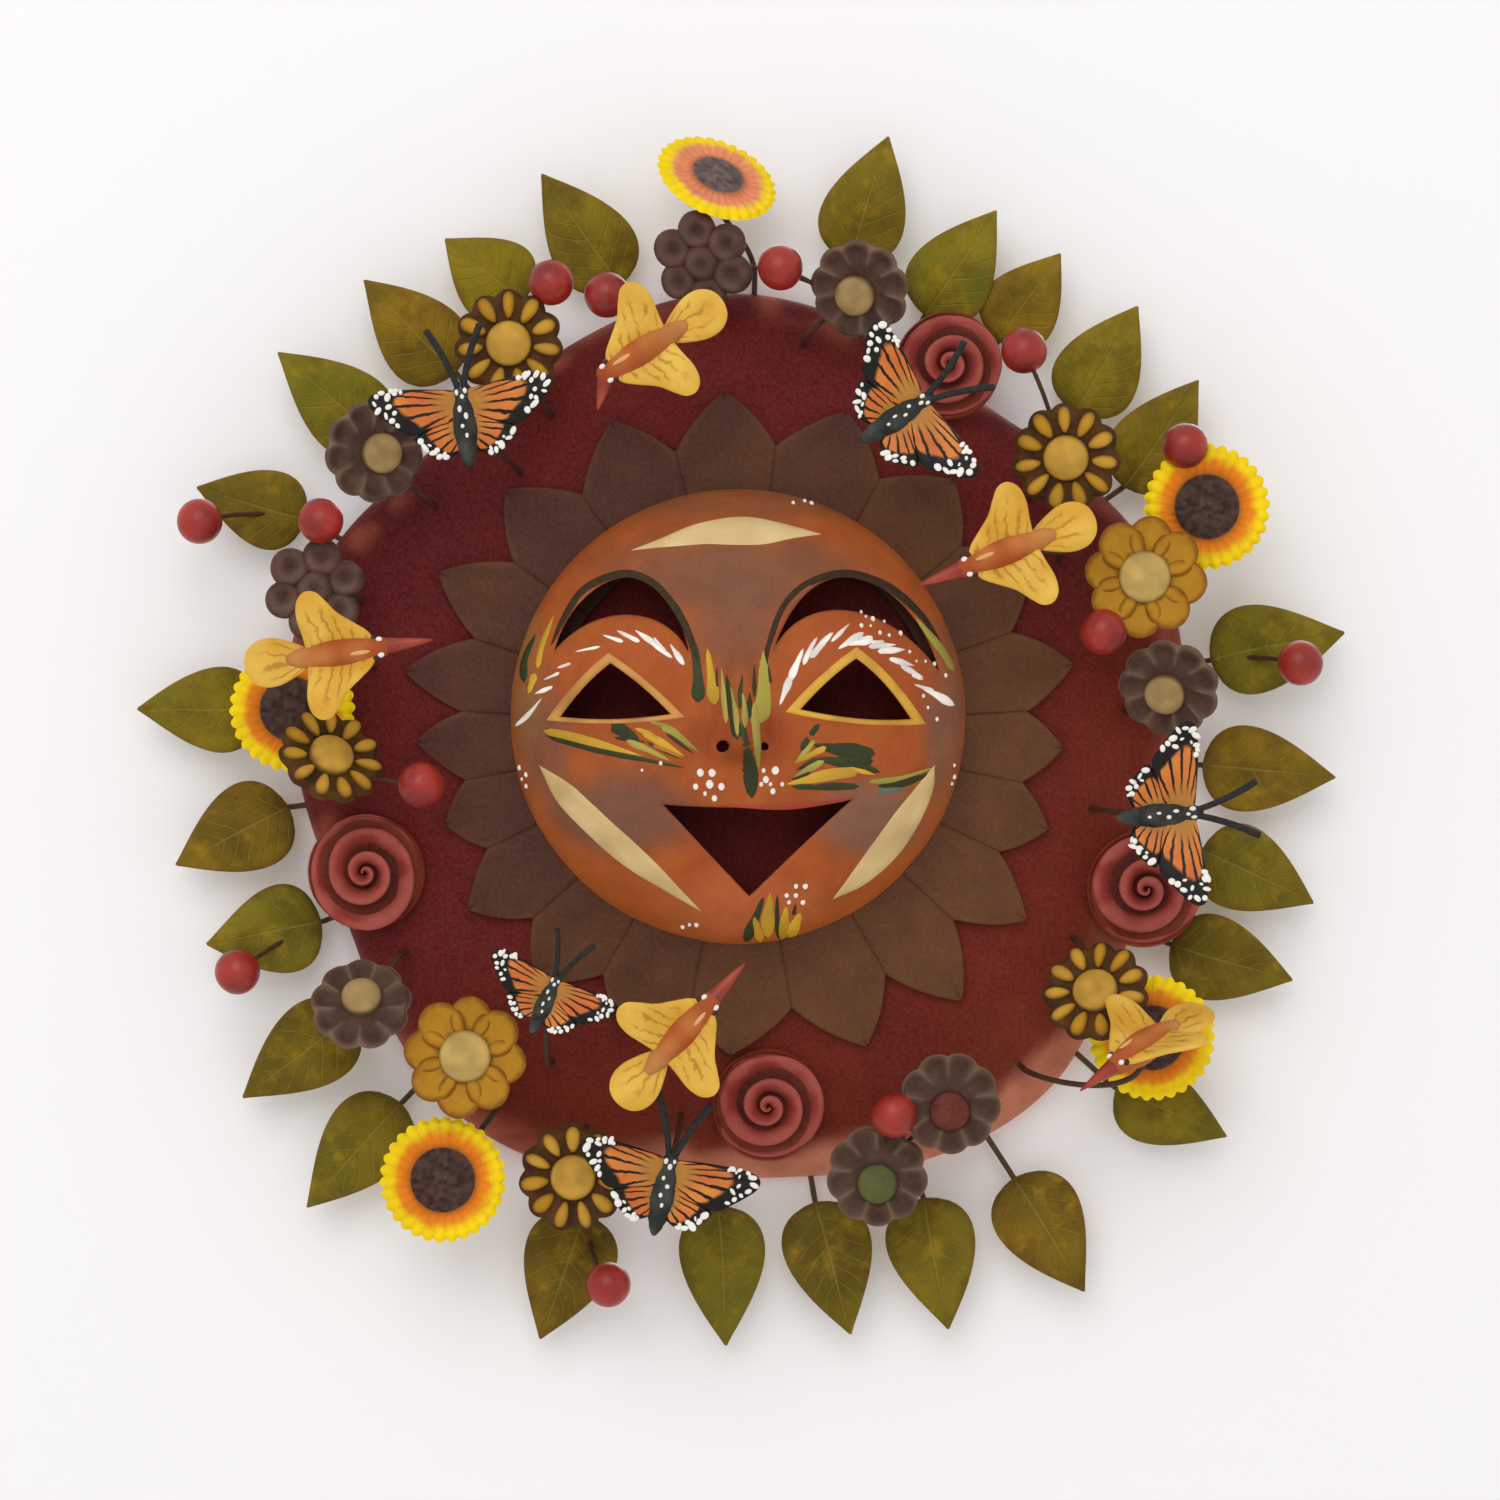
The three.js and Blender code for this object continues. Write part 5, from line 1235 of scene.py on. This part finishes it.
def bird(seed, beak_turn=0.0, beak_share=1.0):
    """Seen from above: two wings, a tail, a body, and a red beak between two pairs of eyes."""
    skins = []
    for hand in (1, -1):
        made = bird_feather(BIRD_WING, ((0.5, 11), (0.5, -8.6)), seed * 3 + hand)
        made["points"][:, 0] *= hand
        made = made if hand > 0 else flipped(made)
        skins += turned([made], rotation(0, 0, -18 * hand), (0, -0.4, 0))
    skins += turned([bird_feather(BIRD_TAIL, ((-1.6, -8), (1.6, -8)), seed * 3 + 5)], offset=(0, 0.3, 0))
    turn = np.linspace(0, 2 * np.pi, 26, endpoint=False)
    ups, girths = np.array(BIRD_BODY).T
    along = np.interp(np.linspace(0, 11, 34), np.arange(12), ups)
    rings = [stacked(girth * np.cos(turn), girth * np.sin(turn), up)
             for up, girth in zip(along, np.interp(along, ups, girths))]
    points, faces = loft(rings, [0, 0, -15.6], [0, 0, 15.6])
    points[:, 1] -= 0.2 * lumps(points + seed * 7, 5, 33)
    up = points[:, 2]
    paint = coated(blend("#a64e22", "#c67a3e", 0.5 + 0.6 * lumps(points + seed, 5, 34)),
                   ("#cf9a58", 0.5 * ramp(-4, -14, up)), ("#9a3a1e", 0.6 * ramp(8, 14, up)))
    skins.append(skin(points, faces, paint))
    turn = turn[::2]
    rings = []
    for share, size in ((0.0, 2.7), (0.15, 2.5), (0.35, 2.0), (0.6, 1.4), (0.8, 0.85), (0.94, 0.4)):
        y = size * (1 - 0.3 * share) * np.sin(turn) + 0.6 * share ** 2
        rings.append(stacked(size * np.cos(turn), y, 16.0 * beak_share * share))
    points, faces = loft(rings, [0, 0, -1.0], [0, 0.6, 16.1 * beak_share])
    red = blend("#8a2618", "#ad4528", 0.4 + 0.6 * lumps(points, 4, 35))
    skins += turned([skin(points, faces, red, "gloss")], rotation(beak_turn), (0, 0, 12.4))
    for hand in (1, -1):
        skins.append(ball((hand * 2.3, -2.2, 12.6), (0.8, 0.8, 1.0), "#f1ece2", "brush", rows=6, sides=10))
        skins.append(ball((hand * 3.0, -1.6, 11.0), (0.8, 1.0, 1.0), "#1c1816", "gloss", rows=6, sides=10))
    skins.append(ball((0.9, -4.1, 6.4), (0.7, 0.6, 3.4), "#e0a468", "brush", rows=7, sides=8))
    return turned(skins, offset=(0, -4.8, 0))


def rose_cup(clock, reach, share, seed):
    """A rolled clay rose: one band wound into a spiral, its rim falling outward, over a bowl that
    sits on the disc's front."""
    limit = ROSE_RADIUS * share
    rim = rim_radius(clock)
    centre = around(clock, rim + reach, 0)
    inner = around(clock, min(rim + reach, rim - limit), 0)
    base = float(front_depth(inner[0], inner[2]))
    phase = np.random.default_rng(400 + seed).uniform(0, 2 * np.pi)

    def crown(radius):
        return ROSE_HEIGHT * np.sqrt(np.maximum(0, 1 - (0.88 * radius / limit) ** 2)) - 0.4

    # The band winds outward, and its last turn runs round the edge and sinks under itself
    turns, closing = 3.7, 2.8
    wound = np.linspace(0, turns, 260)
    sweep = 2 * np.pi * wound
    out = np.minimum(1, wound / closing)
    lip_at = 0.8 + (limit - 2.2) * (0.35 * out + 0.65 * out ** 1.8)
    pitch = np.clip(lip_at - np.interp(wound - 1, wound, lip_at, left=0.0), 1.2, 8)
    last = np.maximum(pitch, 5 * ramp(turns + 0.6, closing, wound))
    pitch = np.where(wound > closing, last, pitch)
    sink = 3.6 * ramp(turns - 0.95, turns, wound)
    petal = np.abs(np.sin(0.5 * 2.7 * sweep + phase))
    wobble = 1 + (0.035 * np.sin(2 * sweep + phase) + 0.03 * (petal ** 0.5 - 0.8)) * out
    ripple = (0.4 * np.sin(3.3 * sweep + phase) + 0.9 * (petal ** 0.6 - 0.8)) * out
    # From the crevice by the band inside it, up the band's broad inner face, over its rim: how far
    # across, how high, and how much a part of the rim
    section = [(-0.93, -4.2, 0.0), (-0.84, -2.4, 0.05), (-0.7, -1.5, 0.3), (-0.5, -0.85, 0.5),
               (-0.3, -0.35, 0.7), (-0.12, 0.0, 1.0), (0.02, -0.1, 1.0), (0.09, -0.6, 0.75),
               (0.08, -1.7, 0.3), (0.0, -4.0, 0.0)]
    side, drop, lip = np.array(section).T[..., None]
    fall = drop * (0.45 + 0.55 * np.minimum(1, pitch / 5))
    height = crown(lip_at) + fall - sink + ripple * np.maximum(lip, 0.2)
    rings = around(np.degrees(sweep + phase), (lip_at + side * pitch) * wobble, height).transpose(1, 0, 2)
    points, faces = loft(rings, rings[0].mean(axis=0), rings[-1].mean(axis=0))
    lips = np.concatenate([np.tile(lip.ravel(), len(sweep)), [0, 0]])
    points[:, 1] -= 0.35 * lumps(points + 40 * seed, 5, 36)
    # Painted shade deep in the crevices between the turns of the band, and a painted pink highlight along its
    # rims
    paint = blend("#561514", "#8c3029", 1.7 * lips + 0.35 * lumps(points + 9 * seed, 6, 37))
    lip_highlight = ramp(0.4, 1.0, lips + 0.45 * lumps(points, 5, 40))
    band = skin(points, faces, blend(paint, "#b25a50", 0.7 * lip_highlight))

    degrees = np.linspace(0, 360, 72, endpoint=False)
    rows = [around(degrees, limit * at, crown(limit * at) - 3.4)
            for at in (0.1, 0.25, 0.4, 0.55, 0.7, 0.82, 0.9)]
    swirl = limit * (1 + 0.015 * np.sin(np.radians(degrees) * 2 + phase))
    for share, at, drop in ((0.95, 0.93, 2.2), (0.98, 1, 2.6), (0.96, 1, 4.6)):
        rows.append(around(degrees, share * swirl, crown(limit * at) - drop))
    foot = around(degrees, limit * 0.93, 0)
    x, _, z = (foot + centre).T
    on_disc = np.hypot(x, z) < rim_toward(x, z) - 1
    foot[:, 1] = base - np.maximum(ROSE_BACK_DEPTH, np.where(on_disc, front_depth(x, z) - 0.6, 0))
    low = foot * [0.5, 1, 0.5]
    points, faces = loft([*rows, foot, low], [0, 4.0 - crown(0), 0], low.mean(axis=0))
    points[:, 1] -= 0.2 * lumps(points + 40 * seed, 5, 38)
    # Painted shade: the bowl is darker toward its middle, under the band
    outer = ramp(limit * 0.6, limit * 0.95, np.hypot(points[:, 0], points[:, 2]))
    bowl = skin(points, faces, blend("#4d1512", "#96402e", outer * (0.8 + 0.2 * lumps(points, 5, 39))))
    return turned([band, bowl], offset=centre + [0, -base, 0])


# Where everything stands

# Clock angle, reach beyond the rim, heading, length and width
LEAVES = [
    (12.9, 16, 15.7, 40, 26), (23.1, 11.5, 35.6, 39, 26), (32.3, 17, 35.7, 33, 24),
    (44.7, 12.5, 30, 38, 26), (55.5, 5, 34.7, 40, 26), (79, 7, 76.7, 42, 27),
    (91.6, 7, 95, 41, 26), (101.9, 13, 115, 38, 26), (114, 12, 106.4, 39, 26),
    (131.7, 15, 112, 37, 24), (147.1, 14, 148.7, 41, 27), (157.4, 10, 170.9, 41, 27),
    (170.3, 7, 165.6, 42, 27), (182.5, 7, 175.9, 43, 26), (198.3, 11, 199.5, 41, 28),
    (223.8, 9, 223.3, 43, 26), (235.9, 8, 231, 42, 26), (247.8, 6, 258.7, 36, 27),
    (263, 4, 241.7, 39, 27), (275.3, 7, 268, 38, 26), (298.2, 11, 286, 35, 24),
    (311.5, 10, 308, 43, 26), (323.4, 13, 314, 40, 26), (334.4, 18, 308.6, 31, 26),
    (345.8, 8, 323.7, 42, 26),
]
LEAF_BERRIES = {6: (81, 32, 30), 15: (193.7, 30, 26), 18: (246.3, 33, 28), 21: (293.2, 36, 28),
                25: (344, 4, 40)}

# By slot and maker: clock angle, reach beyond the rim and depth off the wall, turn (heading, tilt,
# roll), the wire's root, and where its berries are
ORNAMENTS = [
    ("sunflower_yellow", sunflower, {
        "sunflower_top": ((357.5, 29.2, 26), (25, -48), (2, "edge")),
        "sunflower_right": ((62.4, 18, 34), (), (64, 14), (55.6, 24, 40)),
        "sunflower_left": ((275.5, -4.6, 25), (), (276, 18)),
        "sunflower_lower_left": ((214.6, 14, 35), (), (214, 16)),
        "sunflower_lower_right": ((124.6, 14.3, 30), (), (128, 16)),
    }),
    ("daisy_brown", daisy, {
        "daisy_top_left": ((330.7, 7, 38), (), (331, 16), (338.3, 15.3, 40)),
        "daisy_right": ((48, -2.7, 42), (30, 12), (49, 18), (35.5, 16, 38)),
        "daisy_left": ((268.5, -14, 42), (35, -40), (266, 26), (264.1, -40, 46)),
        "daisy_bottom": ((201.2, -1.9, 32), (), (202, 16)),
        "daisy_lower_right": ((124.2, -6.3, 37), (333, -30), (119, 18)),
    }),
    ("mustard", mustard_flower, {
        "mustard_flower_right": ((66.7, -9.3, 40), (), (70, 20), (71.8, -27, 47)),
        "mustard_flower_left": ((221.9, -18.7, 42), (), (222, 26)),
    }),
    ("grey_brown", dark_cup, {
        "dark_flowers_top": ((15, 7.6, 34), (40, 25), (9, 14), (5, 5, 38)),
        "dark_flower_upper_left": ((309.3, 7.7, 38), (280, 20), (309, 16)),
        "dark_flower_right": ((81.1, -8, 36), (33, 25), (84, 20)),
        "dark_flower_lower_left": ((235.6, 1.9, 34), (180, 30), (239, 16)),
    }),
    ("grey_brown", dark_balls, {
        "dark_flower_left": ((291, -5, 30), (), (292, 18), (299, 4, 40)),
    }),
    ("grey_brown", dark_cup, {
        "dark_flowers_bottom": ((161.8, -2, 32), (), (158, 18), (156.7, -19.9, 42)),
    }),
    ("butterfly_orange", butterfly, {
        "butterfly_upper_left": ((320.2, -6.1, 58), (353,), (322, 24)),
        "butterfly_upper_right": ((25.5, -23.8, 58), (57,), (24, 26)),
        "butterfly_right": ((98.5, -6.8, 58), (86,), (99, 24)),
        "butterfly_lower_left": ((217.5, -48, 58), (25,), (211, 32)),
        "butterfly_bottom": ((189.6, -1.7, 54), (13,), (189, 22)),
    }),
    ("bird_yellow", bird, {
        "bird_top": ((346.7, -18.1, 60), (238,), (349, 24)),
        "bird_right": ((53.3, -38.5, 62), (249,), (59, 26)),
        "bird_left": ((283.9, -20.5, 62), (82,), (283, 28)),
        "bird_bottom": ((191.3, -50.1, 62), (42,), (196, 28)),
        "bird_lower_right": ((127.1, 12.8, 58), (240, 35, 50), (138, 13)),
    }),
]
TWINS = {
    "dark_flowers_top": ((356.4, 7.7, 28), dark_balls(50)),
    "dark_flowers_bottom": ((148.9, -18.1, 38), dark_cup(51, "#6b3128")),
}
# Clock angle, reach, share of the common radius
ROSES = {
    "rose_upper_right": (28.5, 1.2, 0.92),
    "rose_left": (252.1, -13.3, 1),
    "rose_bottom": (175.2, -24.4, 0.96),
    "rose_right": (108.6, -1.8, 1),
}
# What sets some of them apart
SPECIAL = {
    "bird_top": {"beak_turn": -43.0, "beak_share": 0.7},
    "butterfly_lower_left": {"share": 0.75},
    "dark_flowers_bottom": {"middle": "#5c6438"},
}
WIRE_PAINT, LEAF_WIRE_PAINT = "#43281b", "#4a3a22"


def stem(seat, out, end, enters, steps):
    """A wire from its socket to where it goes into the clay. Gives its path, and the place and the
    direction where twigs fork from it, at 0.55 of the whole wire as in the solids."""
    outside, inside_end = seat + WIRE_RUN * out, seat - SOCKET_DEPTH * 0.6 * out
    reach = 0.35 * np.linalg.norm(outside - end)
    controls = outside, outside + reach * out, end - reach * enters, end
    path = np.concatenate([[inside_end, (inside_end + outside) / 2], bezier(*controls, steps=18)])
    exact = bezier(*controls, steps=200)
    k = int(round(200 * (0.55 - 1 / steps) / (1 - 1 / steps)))
    along = exact[k + 1] - exact[k - 1]
    return path, exact[k], along / np.linalg.norm(along)


def twig(start, along, end):
    """A thin wire that forks from another one."""
    reach = 0.4 * np.linalg.norm(start - end)
    return tube(bezier(start, start + reach * along, end, steps=12), TWIG_RADIUS, WIRE_PAINT, sides=8)


def stand(node, seed, skins, at, turn, root, berries, joint, enters, steps, wire=WIRE_PAINT):
    """An ornament on its wire, with its berries and its twin. The wire meets it at `joint` and runs
    along `enters`, both on the ornament before its turn."""
    matrix, position = rotation(*turn), stand_at(*at)
    joint, enters = matrix @ joint, matrix @ enters
    path, fork, along = stem(*seat_of(*root), joint + position, enters, steps)
    made = [*turned(skins, matrix, position), tube(path, WIRE_RADIUS, wire)]
    for number, place in enumerate(berries):
        spot = stand_at(*place)
        made += [twig(fork, along, spot), *berry(spot, seed + number)]
    if node in TWINS:
        place, twin = TWINS[node]
        spot = stand_at(*place)
        made += [twig(fork, along, spot + joint), *turned(twin, matrix, spot)]
    piece(node, made)


for number, (clock, reach, heading, length, width) in enumerate(LEAVES, start=1):
    berries = [LEAF_BERRIES[number]] if number in LEAF_BERRIES else []
    stand(f"leaf_{number:02d}", number, leaf(number, length, width), (clock, reach, 8),
          (heading, 8), (clock, "edge"), berries, (0, 0, 3), (0, 0, 1), 2, LEAF_WIRE_PAINT)

number = 0
for slot, maker, group in ORNAMENTS:
    for node, (at, turn, root, *berries) in group.items():
        skins = maker(number, **SPECIAL.get(node, {}))
        stand(node, 60 + number, skins, at, turn, root, berries, (0, -2, 0), (0, -1, 0), 4)
        number += 1

for number, (node, place) in enumerate(ROSES.items()):
    piece(node, rose_cup(*place, number))

piece("sun_disc", [disc(), *(ray(number) for number in range(len(RAYS)))])
piece("sun_face", [*face_shell(), *face_drawing()], weld=True, sharp=60)


def hanger():
    """A bent wire whose two ends go into the back of the disc, with the nail under its top."""
    leg_height, half = HANG_DROP - HANGER_HEIGHT, HANGER_SPREAD / 2
    leg_depth = front_depth(half, leg_height) - DISC_WALL

    def leg(hand):
        return [[hand * half, -leg_depth - SOCKET_DEPTH, leg_height], [hand * half, -leg_depth, leg_height],
                [hand * half, -HANGER_STANDOFF - 0.4 * HANGER_BEND, leg_height + 0.1 * HANGER_BEND],
                [hand * half * 0.85, -HANGER_STANDOFF, leg_height + HANGER_BEND]]

    points = [*leg(-1), [-HANGER_EYE, -HANGER_STANDOFF, HANG_DROP - HANGER_EYE],
              [0, -HANGER_STANDOFF, HANG_DROP - HANGER_RADIUS],
              [HANGER_EYE, -HANGER_STANDOFF, HANG_DROP - HANGER_EYE], *leg(1)[::-1]]
    return tube(curve_through(points, 10), HANGER_RADIUS, "#77736d", "steel", sides=14)


piece("hanging_wire", [hanger()])


# Stage

def add(name, data):
    made = bpy.data.objects.new(name, data)
    bpy.context.scene.collection.objects.link(made)
    return made


def plane(name, corners, colour, one_sided=False):
    """A part of the studio. One that is one-sided can't be seen from behind."""
    mesh = bpy.data.meshes.new(name)
    mesh.from_pydata(corners, [], [(0, 1, 2, 3)])
    nodes = material(name)
    shader = nodes.make("BsdfDiffuse", Color=colour)
    if one_sided:
        behind = nodes.make("NewGeometry", "Backfacing")
        shader = nodes.make("MixShader", values=(behind, shader, nodes.make("BsdfTransparent")))
    mesh.materials.append(nodes.result("Material", shader))
    made = add(name, mesh)
    return made


# The wall that the sun hangs on is seen from the front only, and light reaches the back through it
corners = [(-1, -1), (1, -1), (1, 1), (-1, 1)]
wall = plane("wall", [(2.5 * x, 0.0006, 2.5 * z) for x, z in corners], "#f7f5f6", one_sided=True)
wall.visible_shadow = wall.visible_diffuse = wall.visible_glossy = False
plane("floor", [(3 * x, 3 * y, -0.5) for x, y in corners], "#eeecea")

CENTRE = np.array([0.0, -0.035, -0.096])


def lamp(name, place, power, size):
    """A round light that looks at the middle of the sun."""
    data = bpy.data.lights.new(name, "AREA")
    data.energy, data.shape, data.size = power, "DISK", size
    made = add(name, data)
    made.location = place
    made.rotation_euler = Vector(CENTRE - place).to_track_quat("-Z", "Y").to_euler()


lamp("key", (1.0, -1.05, -1.05), 50.0, 0.6)
lamp("fill", (-0.3, -1.8, 0.9), 13.0, 1.6)
lamp("back", (0.3, 1.4, 0.6), 8.0, 1.2)

# The air gives a soft light, and what looks straight at it sees a pale backdrop
world = bpy.context.scene.world = bpy.data.worlds.new("studio")
nodes = Nodes(world)
soft = nodes.make("Background", Color=np.ones(3), Strength=0.78)
seen = nodes.make("Background", Color=np.full(3, 0.93), Strength=1.0)
direct, mirrored, through = (nodes.make("LightPath", f"Is {kind} Ray")
                             for kind in ("Camera", "Glossy", "Transmission"))
looks = nodes.larger(nodes.larger(direct, mirrored), through)
nodes.result("World", nodes.make("MixShader", values=(looks, soft, seen)))

lens = bpy.data.cameras.new("camera")
lens.lens, lens.sensor_width = 120, 36
camera = bpy.context.scene.camera = add("camera", lens)
camera.location = (0.0036, -1.535, -0.0954)
camera.rotation_euler = (np.pi / 2, 0, 0)
bpy.context.scene.view_settings.view_transform = "Standard"
